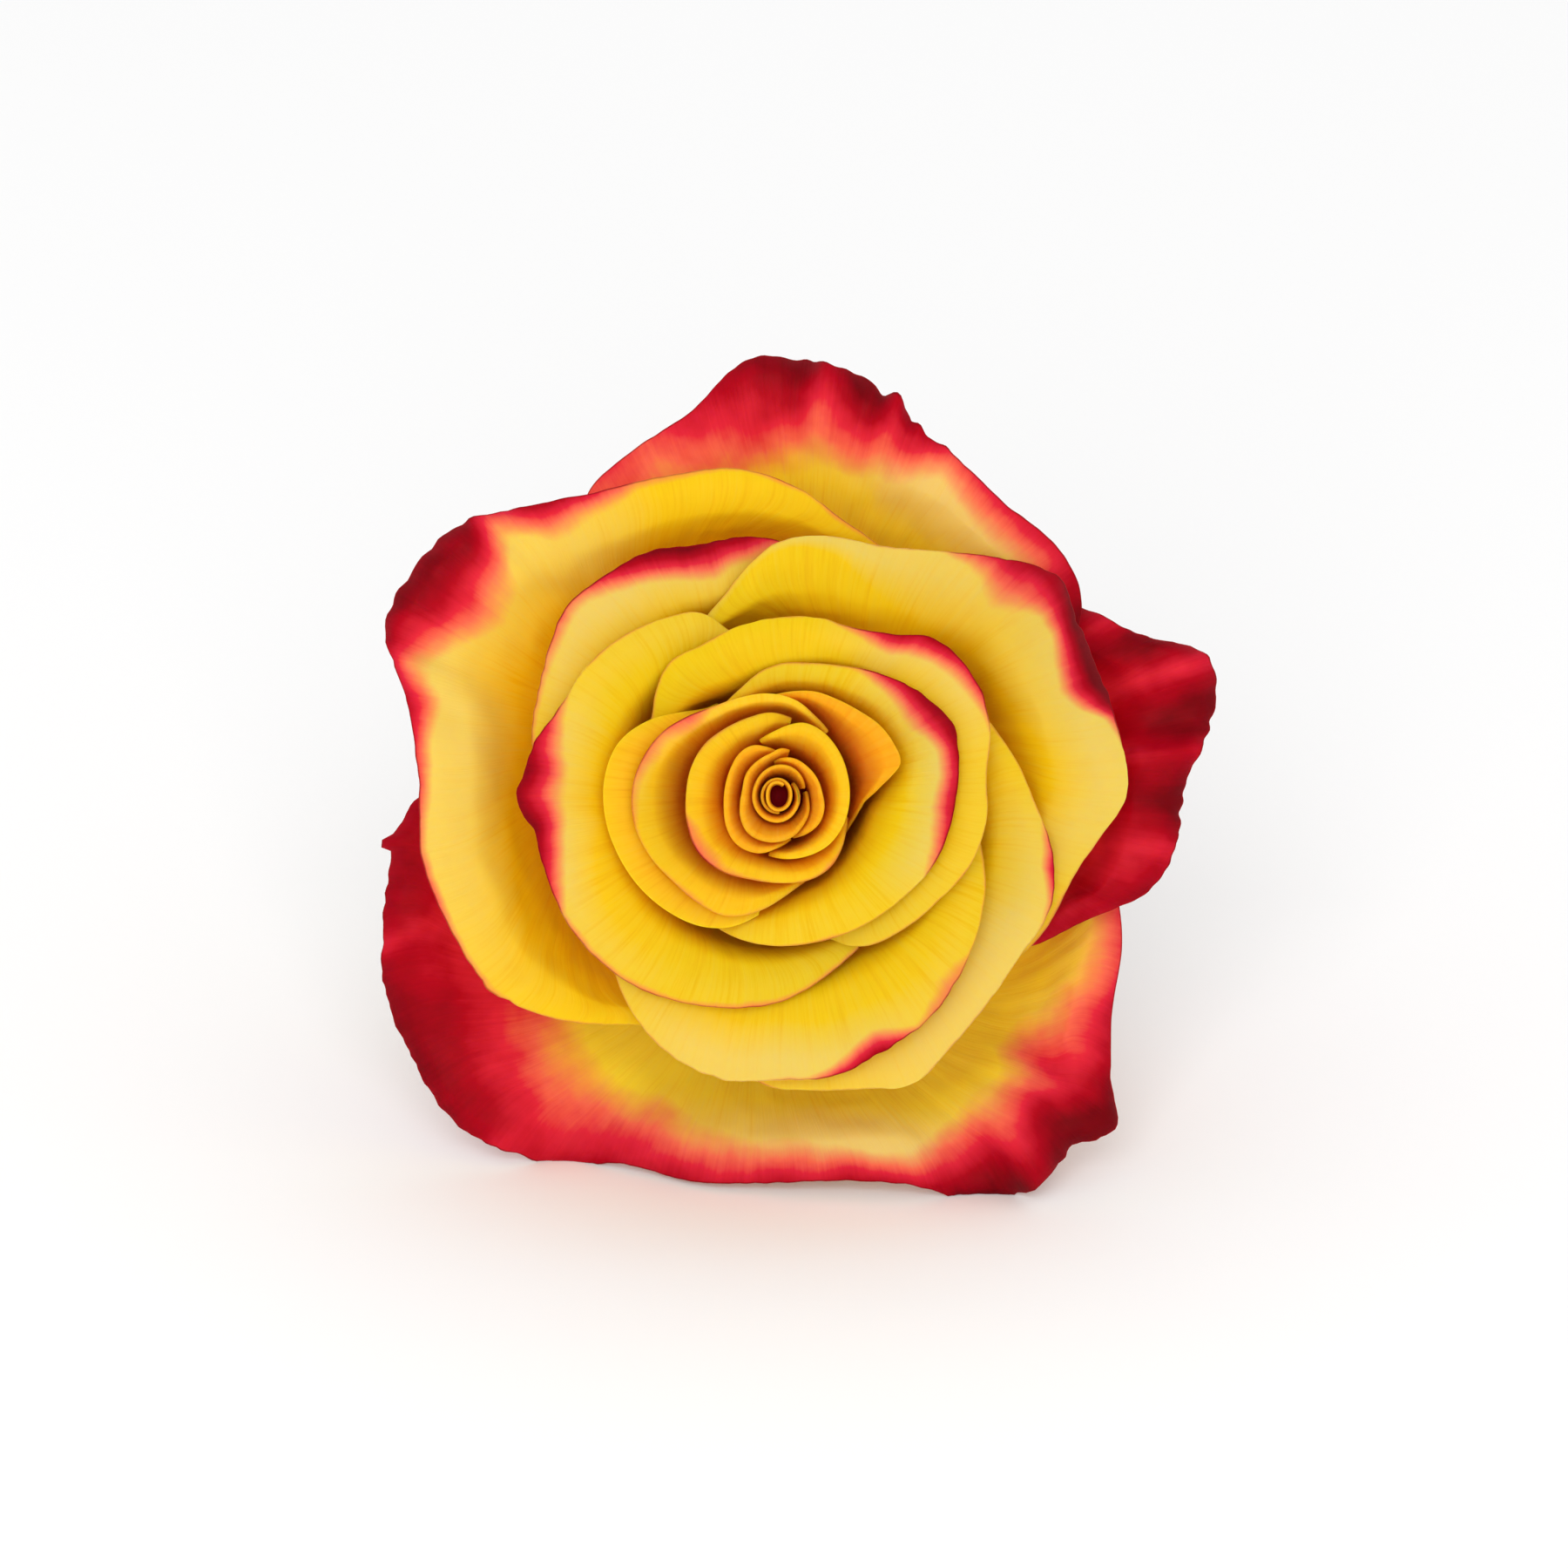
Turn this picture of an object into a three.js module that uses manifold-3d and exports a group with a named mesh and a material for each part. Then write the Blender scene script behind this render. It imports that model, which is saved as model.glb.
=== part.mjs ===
// A cut garden rose, fully open, with a short bare stem. It lies on a flat surface: the bottom guard
// petal's two tips and the end of the stem touch down, and the bloom faces forward and up.
// Millimetres. The finished part has +Z up and its origin under the middle of its outline.
// Petals are drawn in the bloom's own frame: +Z is the bloom's axis, z = 0 the rim of the hip.
// An azimuth is in degrees, counter-clockwise from +X, for an eye that looks into the bloom.
import * as THREE from "three";
import { mergeVertices } from "three/addons/utils/BufferGeometryUtils.js";
import Module from "manifold-3d";

const wasm = await Module();
wasm.setup();

// Driving sizes
const faceTilt = 24; // how far the bloom's axis rises from the surface, in degrees
const petalThickness = 0.6;
const stemRadius = 3.2;
const stemBow = 6; // sideways pull on the lower half of the stem's curve
const hipHeight = 13.5;
const seatGap = 0.3; // between pieces that touch

// Petals stand on the hip's sloping top in rings, from the guards at its edge inward.
const clawRing = { radius: 8.6, height: 0.2, stepIn: 0.95, stepUp: 0.5 };
const claw = (ring) => [clawRing.radius - ring * clawRing.stepIn, clawRing.height + ring * clawRing.stepUp];

// Each petal is a thin shell. In every half-plane through the axis it follows one curve: from its
// claw through a swell up a steep wall, over a shelf, along a nearly flat lip to its rim. Claw,
// swell and wall are [radius, height], or a wall is a list of [azimuth, radius, height], as a rim
// is. lipShare is the part of the way from rim to wall that the lip takes, and lipDrop its rise.
const guards = {
  guard_petal_bottom: {
    claw: claw(0), swell: [21, 0.8], wall: [33, 8.5], lipShare: 0.5, lipDrop: -0.6,
    rim: [[170, 34, 19], [181, 42, 19], [188, 45.5, 18], [197, 47.6, 16.5], [206, 50.7, 14.5],
      [216, 52.3, 13], [226, 53.4, 11.5], [232, 51.8, 10.5], [239, 50, 9.4], [247, 46.4, 12.5],
      [257, 45.8, 16], [268, 44.9, 18.4], [278, 45, 19.5], [288, 47.2, 20.2], [296.5, 52.3, 18.3],
      [304, 54.2, 20.5], [310, 53.1, 21], [315.5, 54.7, 19], [320, 50.2, 19], [328, 45.8, 19],
      [338, 42.9, 18.8], [346, 40, 18], [354, 36.5, 16.5]],
  },
  guard_petal_right: {
    claw: claw(0), swell: [20.3, 2.2], wall: [31.5, 12.5], lipShare: 0.5, lipDrop: -0.2,
    rim: [[-42, 28, 23], [-30, 34.6, 24], [-22, 38.2, 24.5], [-15, 44, 24.5], [-6, 46.4, 24],
      [2, 47.2, 24], [8, 50, 23], [14, 52.2, 22], [19, 51.4, 22], [23, 46.4, 23.5], [31, 41.5, 25],
      [40, 37, 23.4]],
  },
  guard_petal_top: {
    claw: claw(0), swell: [19.5, 3.4], wall: [30, 16.3], lipShare: 0.5, lipDrop: 0.3,
    rim: [[22, 34, 28], [32, 41.2, 29], [41, 43, 29.5], [52, 42.6, 29], [63, 44.2, 28.5],
      [72, 46.8, 27.5], [80, 49.4, 26.5], [88, 50.4, 25.5], [94, 50.3, 25], [103, 45.3, 27],
      [113, 43.1, 28.5], [122, 41.2, 28.6], [131, 36, 27]],
  },
};

const outerPetals = {
  outer_petal_left: {
    claw: claw(1), swell: [17.2, 4], wall: [27, 23], lipShare: 0.55, lipDrop: 1.2,
    rim: [[60, 29.3, 30], [68, 31, 33.6], [77, 32.6, 36.4], [86, 35.3, 37.5], [97, 37.8, 38],
      [109, 38.8, 38], [121, 40.6, 37.5], [131, 43.9, 36.5], [138, 47.6, 35.5], [150, 49.3, 34.5],
      [158, 48.8, 35], [165, 44.3, 36.5], [177, 41.3, 37.5], [190, 41.5, 37.5], [203, 40.6, 37.5],
      [214, 39.8, 37.5], [226, 35.9, 37.5], [237, 31.4, 36.6], [246, 29.6, 34.4], [254, 28, 30.5]],
  },
  outer_petal_right: {
    claw: claw(1), swell: [16.4, 5], lipShare: 0.75, lipDrop: 0.5,
    wall: [[-48, 25.6, 25], [28, 25.4, 26], [44, 22.4, 28], [58, 19.8, 30], [75, 19.2, 31.5],
      [103, 19.8, 32.5]],
    rim: [[-48, 30, 31], [-38, 32.4, 34.6], [-28, 34.2, 36.5], [-15, 35.3, 37], [-7, 37.5, 37.5],
      [0, 40, 37.5], [11, 39.8, 37.5], [22, 39.4, 37.5], [31, 39.8, 36.5], [38, 40.8, 35.5],
      [47, 37.2, 37.2], [57, 33.4, 39.2], [68, 30.9, 41], [80, 30.2, 42.3], [90, 29, 43.2],
      [97, 26.2, 43.8], [103, 23.4, 43.6]],
  },
};

const middlePetals = {
  middle_petal_left: {
    claw: claw(2), swell: [13.6, 6.3], wall: [21.2, 31], lipShare: 0.85, lipDrop: 0.6,
    rim: [[80, 25.5, 36], [88, 28.8, 38.8], [97, 29.9, 41.4], [107, 30.1, 42.5],
      [118, 31.6, 42.5], [128, 32, 42.5], [138, 32.4, 42.5], [149, 30.9, 42.5], [158, 29.8, 42],
      [167, 29, 41], [176, 27, 38.6], [185, 25, 35]],
  },
  middle_petal_right: {
    claw: claw(2), swell: [14.3, 5.6], wall: [22.4, 28.5], lipShare: 0.85, lipDrop: 0.8,
    rim: [[-112, 25.6, 32.5], [-103, 29.6, 36], [-93, 33.2, 38], [-84, 34, 39], [-74, 35, 39.5],
      [-65, 36.5, 39.5], [-56, 35.1, 39.5], [-45, 33.9, 39.5], [-34, 33.3, 39.5],
      [-22, 33.8, 39.5], [-12, 32.2, 40], [-2, 29.6, 40.5], [8, 27.7, 41], [17, 26, 41],
      [26, 24.8, 39.2], [36, 22.8, 35]],
  },
};

const cupPetals = {
  cup_petal_bottom: {
    claw: claw(3), swell: [12.4, 7.1], wall: [19.5, 31], lipShare: 0.88, lipDrop: 0.8,
    rim: [[216, 24.6, 36.5], [226, 27.2, 40.4], [236, 29.9, 43], [247, 32.1, 43.5], [259, 33.1, 43.5],
      [270, 32.6, 43.5], [281, 32.8, 43.5], [292, 31.7, 43.5], [303, 31, 43.8], [314, 29.5, 44],
      [325, 27.8, 44], [336, 26, 43.8], [346, 24, 42.2], [355, 22.6, 38]],
  },
  cup_petal_left: {
    claw: claw(3), swell: [11.5, 7.8], wall: [17.3, 33.5], lipShare: 0.88, lipDrop: 0.8,
    rim: [[98, 17.9, 42], [106, 19.6, 44.4], [113, 22.7, 45.2], [122, 24, 45.3], [134, 25.4, 45.7],
      [146, 26.4, 46], [158, 26.9, 46], [168, 28.5, 46], [175, 29.2, 45.8], [180, 30, 45.6],
      [184, 29.2, 45.8], [189, 28.1, 46], [200, 28.1, 46], [211, 28.2, 46], [222, 27.9, 46],
      [234, 27.2, 46], [246, 26, 46], [258, 24.9, 45.8], [270, 23.7, 45.3], [281, 22, 44.4],
      [290, 20.7, 43.4], [298, 19.8, 42.4]],
  },
  cup_petal_right: {
    claw: claw(3), swell: [10.7, 8.5], lipShare: 0.9, lipDrop: 0.8,
    wall: [[-72, 15.2, 34.5], [-20, 15.6, 35], [54, 15.9, 35], [66, 15.2, 35], [80, 13.9, 35],
      [98, 12.9, 35], [115, 12.7, 35], [132, 13.5, 35], [148, 14.3, 35]],
    rim: [[-72, 16.9, 43], [-60, 19.9, 45.3], [-47, 21, 46.3], [-33, 22, 47], [-20, 23.4, 47.3],
      [-7, 24, 47.3], [6, 24, 47.3], [17, 25.4, 47], [27, 26.1, 46.8], [37, 26, 46.8],
      [46, 25.1, 47], [54, 22.7, 47.3], [65, 21.1, 47.7], [78, 20.8, 47.8], [91, 20.3, 47.8],
      [104, 19.8, 47.8], [117, 19.3, 47.6], [129, 19.6, 47], [139, 18.4, 46], [148, 16.4, 44.5]],
  },
};

// Petals round the heart keep nearly their whole width down to the hip.
const wideFoot = { clawHalf: 55, spread: 4 };
const innerPetals = {
  inner_petal_right: {
    ...wideFoot,
    claw: claw(4), swell: [8.8, 10], lipShare: 0.74, lipDrop: 1,
    wall: [[-116, 13.6, 41], [-105, 13.2, 41.5], [-98, 12.6, 42], [-80, 11.3, 43],
      [-60, 10.8, 43.5], [-40, 10.2, 44], [-24, 10, 44], [-10, 10.3, 44], [0, 11.2, 43.5],
      [14, 12.9, 42.5], [30, 13.1, 42], [60, 12.6, 42], [76, 12, 42], [98, 11.2, 42]],
    rim: [[-116, 16.6, 45.5], [-105, 17, 48.2], [-92, 17.2, 49.4], [-78, 17.3, 49.6],
      [-64, 17.6, 49.6], [-50, 18, 49.6], [-37, 18.6, 49.6], [-24, 19.5, 49.6], [-11, 20, 49.6],
      [2, 20.5, 49.4], [13, 21.2, 49.2], [23, 21.6, 49], [33, 20.4, 49.2], [43, 19.1, 49.4],
      [54, 17.7, 49.4], [65, 16.4, 49.2], [76, 15.6, 49], [88, 15.2, 48.8], [98, 14.5, 48.4]],
  },
  inner_petal_left: {
    ...wideFoot,
    claw: claw(4), swell: [8.2, 10.7], lipShare: 0.9, lipDrop: 1,
    wall: [[140, 12.7, 37], [155, 13.7, 37], [170, 14.9, 37], [220, 14.3, 38], [240, 12.4, 41],
      [261, 11.3, 42]],
    rim: [[140, 14.4, 46.5], [151, 17.3, 48.2], [162, 19.2, 49], [174, 19.9, 49.4],
      [187, 19.9, 49.4], [200, 19.5, 49.4], [213, 19, 49.4], [226, 18.3, 49.4], [239, 17.4, 49.6],
      [250, 16, 49.8], [261, 13.8, 49.4]],
  },
  heart_petal_left: {
    ...wideFoot,
    claw: claw(5), swell: [6.1, 12.6], lipShare: 0.5, lipDrop: 0.6,
    wall: [[52, 8.3, 40], [66, 8.8, 41], [80, 9.5, 42], [100, 9.6, 43], [125, 9.8, 43.5],
      [150, 10.2, 43.5], [170, 10.6, 43.5], [190, 10.8, 43.5], [215, 10.7, 43.5],
      [235, 10, 43.5], [255, 9.6, 43.5], [271, 9.6, 43]],
    rim: [[52, 9.4, 46.8], [66, 10.1, 49.4], [80, 11.1, 51], [96, 11.7, 51.2], [112, 12, 51.2],
      [127, 12.6, 51], [140, 13.8, 50.8], [151, 15, 50.6], [163, 15.9, 50.4], [176, 16.6, 50.4],
      [191, 16.7, 50.4], [205, 16.2, 50.4], [219, 15.5, 50.8], [232, 15.3, 51.3],
      [246, 15, 51.4], [259, 13.8, 51], [271, 11.8, 49.8]],
  },
  heart_petal_right: {
    ...wideFoot,
    claw: claw(5), swell: [6.7, 12], lipShare: 0.42, lipDrop: 0.8,
    wall: [[-30, 8.5, 34], [-15, 8.7, 35], [-4, 9, 38], [10, 10.4, 42.5], [15, 10.9, 43.5],
      [20, 10.8, 43.5], [30, 10, 43.5], [45, 9.6, 43], [60, 10, 42], [80, 10.9, 41]],
    rim: [[-30, 8.8, 37], [-15, 9.1, 40], [-4, 9.8, 44], [4, 11.6, 47.4], [10, 13.2, 49.8],
      [15, 14.5, 50.6], [24, 14.5, 51], [35, 14.1, 51], [46, 13.4, 51], [58, 12.9, 50.8],
      [70, 12.7, 50.2], [80, 12.4, 49.3]],
  },
  heart_petal_outer: {
    ...wideFoot,
    claw: claw(6), swell: [4.8, 13.6], lipShare: 0.5, lipDrop: 0.8,
    wall: [[80, 7.2, 43], [110, 6.4, 44.5], [160, 6, 44.5], [200, 6.1, 44.5], [235, 6.5, 44.5],
      [255, 6.9, 44.5], [271, 7.3, 44.5], [290, 7.6, 44.5], [307, 8, 44], [322, 8.4, 43]],
    rim: [[80, 9, 48.4], [95, 9.5, 50.2], [110, 9.5, 51], [127, 9.7, 51.3], [145, 10.2, 51.3],
      [163, 10.4, 51.2], [181, 10.5, 51], [199, 10.9, 51], [216, 11.2, 51], [233, 10.8, 51],
      [252, 10.1, 51], [271, 10, 50.8], [290, 10.3, 50.2], [307, 10.3, 49.4], [322, 10.1, 48.2]],
  },
  heart_petal_middle: {
    ...wideFoot,
    claw: claw(7), swell: [3.5, 15], lipShare: 0.5, lipDrop: 0.8,
    wall: [[-98, 6.1, 44], [-60, 6, 44.5], [-20, 5.6, 45], [70, 5.5, 45], [90, 5.9, 45],
      [108, 5.9, 44.5]],
    rim: [[-98, 7, 47.3], [-84, 7.3, 50], [-64, 7.7, 51], [-44, 8.1, 51], [-24, 8.2, 51],
      [-4, 8.2, 51], [16, 8.3, 51], [36, 8.6, 51], [56, 8.9, 51], [70, 8.8, 51], [80, 8.2, 50.9],
      [92, 7.4, 50.3], [108, 6.7, 48.6]],
  },
};

// The tightest petals, rolled round each other and grown together with a slim core.
const scroll = [
  {
    claw: [3.2, 31], swell: [3.9, 36], lipShare: 0.35, lipDrop: 0.7,
    wall: [[92, 4.4, 45], [112, 4.5, 46], [132, 4.6, 46.5], [172, 4.5, 46.5], [212, 4.9, 46.5],
      [230, 5.1, 46.5], [250, 5, 46], [286, 4.3, 44.5]],
    rim: [[92, 5.1, 47.6], [104, 5.7, 49.6], [118, 6.4, 50.6], [132, 6.5, 50.6], [152, 6.2, 50.6],
      [172, 6.1, 50.6], [192, 6.3, 50.6], [212, 6.9, 50.6], [230, 7.3, 50.6], [250, 7, 50.2],
      [268, 6.1, 49.4], [286, 5.3, 47.5]],
  },
  {
    claw: [2.9, 32], swell: [3.5, 37], lipShare: 0.35, lipDrop: 0.7,
    wall: [[-70, 4.2, 45], [-30, 4, 46], [20, 3.6, 46], [66, 3.4, 45.5], [96, 3.2, 44.5]],
    rim: [[-70, 5.2, 47.2], [-52, 5.5, 49.2], [-34, 5.7, 50.2], [-16, 5.5, 50.2], [2, 5.1, 50.2],
      [22, 4.9, 50.2], [44, 4.7, 50], [66, 4.6, 49.6], [84, 4.3, 48.8], [96, 4, 47.2]],
  },
  {
    claw: [2.7, 32], swell: [3.1, 37], lipShare: 0.35, lipDrop: 0.7,
    wall: [[76, 4.4, 45], [99, 3.8, 45.5], [120, 3.2, 46], [170, 2.9, 46], [230, 3.2, 46],
      [290, 3.2, 45.5], [330, 3, 44.5]],
    rim: [[76, 5.4, 48], [86, 5.4, 49.6], [99, 4.9, 50], [120, 4.6, 50], [145, 4.4, 50],
      [170, 4.1, 50], [192, 4.4, 50], [212, 5, 50], [232, 5.5, 50], [252, 5.5, 50], [272, 5.3, 49.9],
      [290, 5, 49.5], [310, 4.5, 48.6], [330, 4.1, 47]],
  },
  {
    claw: [1.9, 33], swell: [2.1, 38], wall: [2.2, 45.5], lipShare: 0.4, lipDrop: 0.7,
    rim: [[15, 2.9, 47], [40, 3.3, 48.8], [65, 3.5, 49.2], [90, 3.5, 49.2], [120, 3.2, 49.2],
      [150, 2.9, 49.2], [180, 2.9, 49.2], [210, 3, 49.2], [240, 3.1, 49.2], [270, 3.2, 49.2],
      [300, 3.1, 49], [330, 2.8, 48.4], [352, 2.5, 47]],
  },
];
const innermost = { radius: 1.9, bore: 1.2, top: 48.4 }; // the last rolled petal, with a hole in it
const core = [[0, 3.9], [1.1, 3.9], [1.5, 9], [2.6, 20], [3.5, 32], [3.8, 38], [3.5, 42], [0, 43]];

const bladeRows = 8; // facets from a petal's claw to its rim
const crown = 0.4; // how far a lip rises between its shelf and its rim
const clawHalfAngle = 22;
const spread = 2.2; // how soon a petal widens above its claw

const hip = {
  top: 3.6, // where the sloping top would meet the axis
  edge: [9.3, -0.8],
  side: [[9.6, -2], [9, -4.6], [7.2, -8], [5, -11.2], [4, -12.6], [3.9, -hipHeight]],
  sides: 28,
};
const sepals = {
  azimuths: [18, 90, 162, 234, 306],
  // [distance along the sepal's fall as radius and height, half-width]
  spine: [[8.4, -2.6, 4.4], [12.4, -3.5, 5], [16.6, -6, 4.7], [20.4, -9.8, 3.9], [23.4, -14.4, 2.9],
    [25.8, -19.2, 2], [28, -23.6, 1.2], [30.4, -27.4, 0.6]],
  thickness: 0.8,
  keel: 0.6, // how far the middle stands proud of the edges
};
const stemSides = 12;
const stemSteps = 12;
const prickles = [
  { along: 0.34, azimuth: 40 },
  { along: 0.56, azimuth: 150 },
  { along: 0.8, azimuth: 75 },
];
// A prickle is flat across the stem and leans towards the cut end.
const prickle = { length: 5.2, rootRadius: 1.9, flatness: 0.62, sink: 0.9, lean: 24, sides: 7 };

const petalYellow = new THREE.MeshStandardMaterial({ color: "#F5C91A", roughness: 0.55, metalness: 0 });
const petalRed = new THREE.MeshStandardMaterial({ color: "#B3122A", roughness: 0.6, metalness: 0 });
const petalOrange = new THREE.MeshStandardMaterial({ color: "#EFA51C", roughness: 0.55, metalness: 0 });
const calyxGreen = new THREE.MeshStandardMaterial({ color: "#5E7F35", roughness: 0.65, metalness: 0 });
const stemGreen = new THREE.MeshStandardMaterial({ color: "#4F7230", roughness: 0.5, metalness: 0 });

const toRadians = THREE.MathUtils.degToRad;
const mix = THREE.MathUtils.lerp;

// Radius and height at an azimuth: one pair that holds all round, or a smooth curve through a list.
function pairAt(table, azimuth) {
  if (!Array.isArray(table[0])) return new THREE.Vector2(...table);
  const last = table.length - 1;
  let i = 0;
  while (i < last - 1 && azimuth >= table[i + 1][0]) i++;
  const span = table[i + 1][0] - table[i][0];
  const t = THREE.MathUtils.clamp((azimuth - table[i][0]) / span, 0, 1);
  const [radius, height] = [1, 2].map((k) => {
    const slope = (j) => {
      const before = table[Math.max(j - 1, 0)];
      const after = table[Math.min(j + 1, last)];
      return (after[k] - before[k]) / (after[0] - before[0]);
    };
    const [a, b, ma, mb] = [table[i][k], table[i + 1][k], slope(i) * span, slope(i + 1) * span];
    return ((2 * a - 2 * b + ma + mb) * t + (3 * b - 3 * a - 2 * ma - mb)) * t * t + ma * t + a;
  });
  return new THREE.Vector2(radius, height);
}

// A petal's curve in the half-plane at an azimuth, as a point and its direction, s from 0 to 1: four
// parabolas that meet smoothly, one round each of the swell, the wall, the shelf and the lip.
function alongBlade(petal, azimuth, s) {
  const rim = pairAt(petal.rim, azimuth);
  const wall = pairAt(petal.wall, azimuth);
  const shelf = new THREE.Vector2(mix(rim.x, wall.x, petal.lipShare), rim.y - petal.lipDrop);
  const lip = shelf.clone().lerp(rim, 0.5);
  lip.y += crown;
  const bends = [pairAt(petal.swell, azimuth), wall, shelf, lip];
  const leg = Math.min(Math.floor(s * bends.length), bends.length - 1);
  const t = s * bends.length - leg;
  const bend = bends[leg];
  const start = leg === 0 ? pairAt(petal.claw, azimuth) : bends[leg - 1].clone().lerp(bend, 0.5);
  const end = leg === bends.length - 1 ? rim : bend.clone().lerp(bends[leg + 1], 0.5);
  const [near, far] = [start.clone().lerp(bend, t), bend.clone().lerp(end, t)];
  return { point: near.clone().lerp(far, t), direction: far.sub(near).normalize() };
}

const inBloom = (azimuth, radius, height) =>
  new THREE.Vector3(
    radius * Math.cos(toRadians(azimuth)),
    radius * Math.sin(toRadians(azimuth)),
    height,
  );

// A closed shell from a grid of [inner, outer] points: two faces, split alike, and a rim all round.
function shellFromGrid(grid) {
  const columns = grid.length;
  const rows = grid[0].length;
  const positions = grid.flat(2).flatMap((p) => [p.x, p.y, p.z]);
  const at = (column, row, face) => (column * rows + row) * 2 + face;
  const triangles = [];
  const quad = (a, b, c, d) => triangles.push(a, b, c, a, c, d);
  for (let i = 0; i < columns - 1; i++)
    for (let j = 0; j < rows - 1; j++) {
      const corners = [[i, j], [i + 1, j], [i + 1, j + 1], [i, j + 1]];
      quad(...corners.map(([c, r]) => at(c, r, 0)).reverse());
      quad(...[corners[2], corners[1], corners[0], corners[3]].map(([c, r]) => at(c, r, 1)).reverse());
    }
  const [end, tip] = [columns - 1, rows - 1];
  for (let i = 0; i < end; i++) {
    quad(at(i, 0, 1), at(i, 0, 0), at(i + 1, 0, 0), at(i + 1, 0, 1));
    quad(at(i, tip, 0), at(i, tip, 1), at(i + 1, tip, 1), at(i + 1, tip, 0));
  }
  for (let j = 0; j < tip; j++) {
    quad(at(0, j, 0), at(0, j, 1), at(0, j + 1, 1), at(0, j + 1, 0));
    quad(at(end, j, 1), at(end, j, 0), at(end, j + 1, 0), at(end, j + 1, 1));
  }
  const geometry = new THREE.BufferGeometry();
  geometry.setAttribute("position", new THREE.Float32BufferAttribute(positions, 3));
  geometry.setIndex(triangles);
  return geometry;
}

// Petal: one column per rim point, narrowing to the claw.
function petalShell(petal) {
  const clawHalf = petal.clawHalf ?? clawHalfAngle;
  const widening = petal.spread ?? spread;
  const first = petal.rim[0][0];
  const last = petal.rim.at(-1)[0];
  const middle = (first + last) / 2;
  const rimHalf = (last - first) / 2;
  const grid = petal.rim.map(([rimAzimuth]) => {
    const share = (rimAzimuth - middle) / rimHalf;
    const column = [];
    for (let row = 0; row <= bladeRows; row++) {
      const s = Math.sin((row / bladeRows) * (Math.PI / 2));
      const half = mix(rimHalf, Math.min(clawHalf, rimHalf), (1 - s) ** widening);
      const azimuth = middle + share * half;
      const { point, direction } = alongBlade(petal, azimuth, s);
      const off = new THREE.Vector2(-direction.y, direction.x).multiplyScalar(petalThickness / 2);
      const inner = point.clone().add(off);
      const outer = point.clone().sub(off);
      column.push([inBloom(azimuth, inner.x, inner.y), inBloom(azimuth, outer.x, outer.y)]);
    }
    return column;
  });
  return shellFromGrid(grid);
}

// Lathe: three's turned profile, which runs up Y, stood along the bloom's axis.
function turned(profile, sides) {
  const points = profile.map(([r, z]) => new THREE.Vector2(r, z));
  return new THREE.LatheGeometry(points, sides).rotateX(Math.PI / 2);
}

// Solids in manifold-3d and back
function solid(geometry) {
  const bare = new THREE.BufferGeometry();
  bare.setAttribute("position", geometry.getAttribute("position"));
  if (geometry.index) bare.setIndex(geometry.index);
  const merged = mergeVertices(bare, 1e-4);
  return new wasm.Manifold(
    new wasm.Mesh({
      numProp: 3,
      vertProperties: merged.attributes.position.array,
      triVerts: new Uint32Array(merged.index.array),
    }),
  );
}

function geometryOf(made) {
  const mesh = made.getMesh();
  const geometry = new THREE.BufferGeometry();
  geometry.setAttribute("position", new THREE.BufferAttribute(mesh.vertProperties, 3));
  geometry.setIndex(new THREE.BufferAttribute(mesh.triVerts, 1));
  return geometry;
}

const joined = (geometries) => geometryOf(geometries.map(solid).reduce((all, next) => all.add(next)));

// Heart scroll: the rolled petals, the innermost ring and the core that they grow from
function scrollGeometry() {
  const rolled = scroll.map((petal) => petalShell({ ...petal, clawHalf: 360 }));
  const { radius, bore, top } = innermost;
  const floor = 38;
  const ring = turned(
    [[bore, floor], [radius - 0.2, floor], [radius, top], [bore + 0.1, top], [bore, floor]],
    16,
  );
  return joined([turned(core, 20), ...rolled, ring]);
}

// Sepal: a keeled blade that falls back along the stem
function sepalShell(azimuth) {
  const { spine, thickness, keel } = sepals;
  const grid = [-1, 0, 1].map((side) =>
    spine.map(([r, z, half], k) => {
      const next = spine[Math.min(k + 1, spine.length - 1)];
      const before = spine[Math.max(k - 1, 0)];
      const along = new THREE.Vector2(next[0] - before[0], next[1] - before[1]).normalize();
      const up = new THREE.Vector2(-along.y, along.x);
      const lift = side === 0 ? keel : 0;
      return [thickness / 2 + lift, lift - thickness / 2].map((offset) =>
        new THREE.Vector3(r + up.x * offset, side * half, z + up.y * offset).applyAxisAngle(
          new THREE.Vector3(0, 0, 1),
          toRadians(azimuth),
        ),
      );
    }),
  );
  return shellFromGrid(grid);
}

// Calyx: the hip with its sloping top, and five sepals
function calyxGeometry() {
  const profile = [...hip.side].reverse();
  profile.unshift([0, -hipHeight]);
  profile.push(hip.edge, [0, hip.top]);
  return joined([turned(profile, hip.sides), ...sepals.azimuths.map(sepalShell)]);
}

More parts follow.
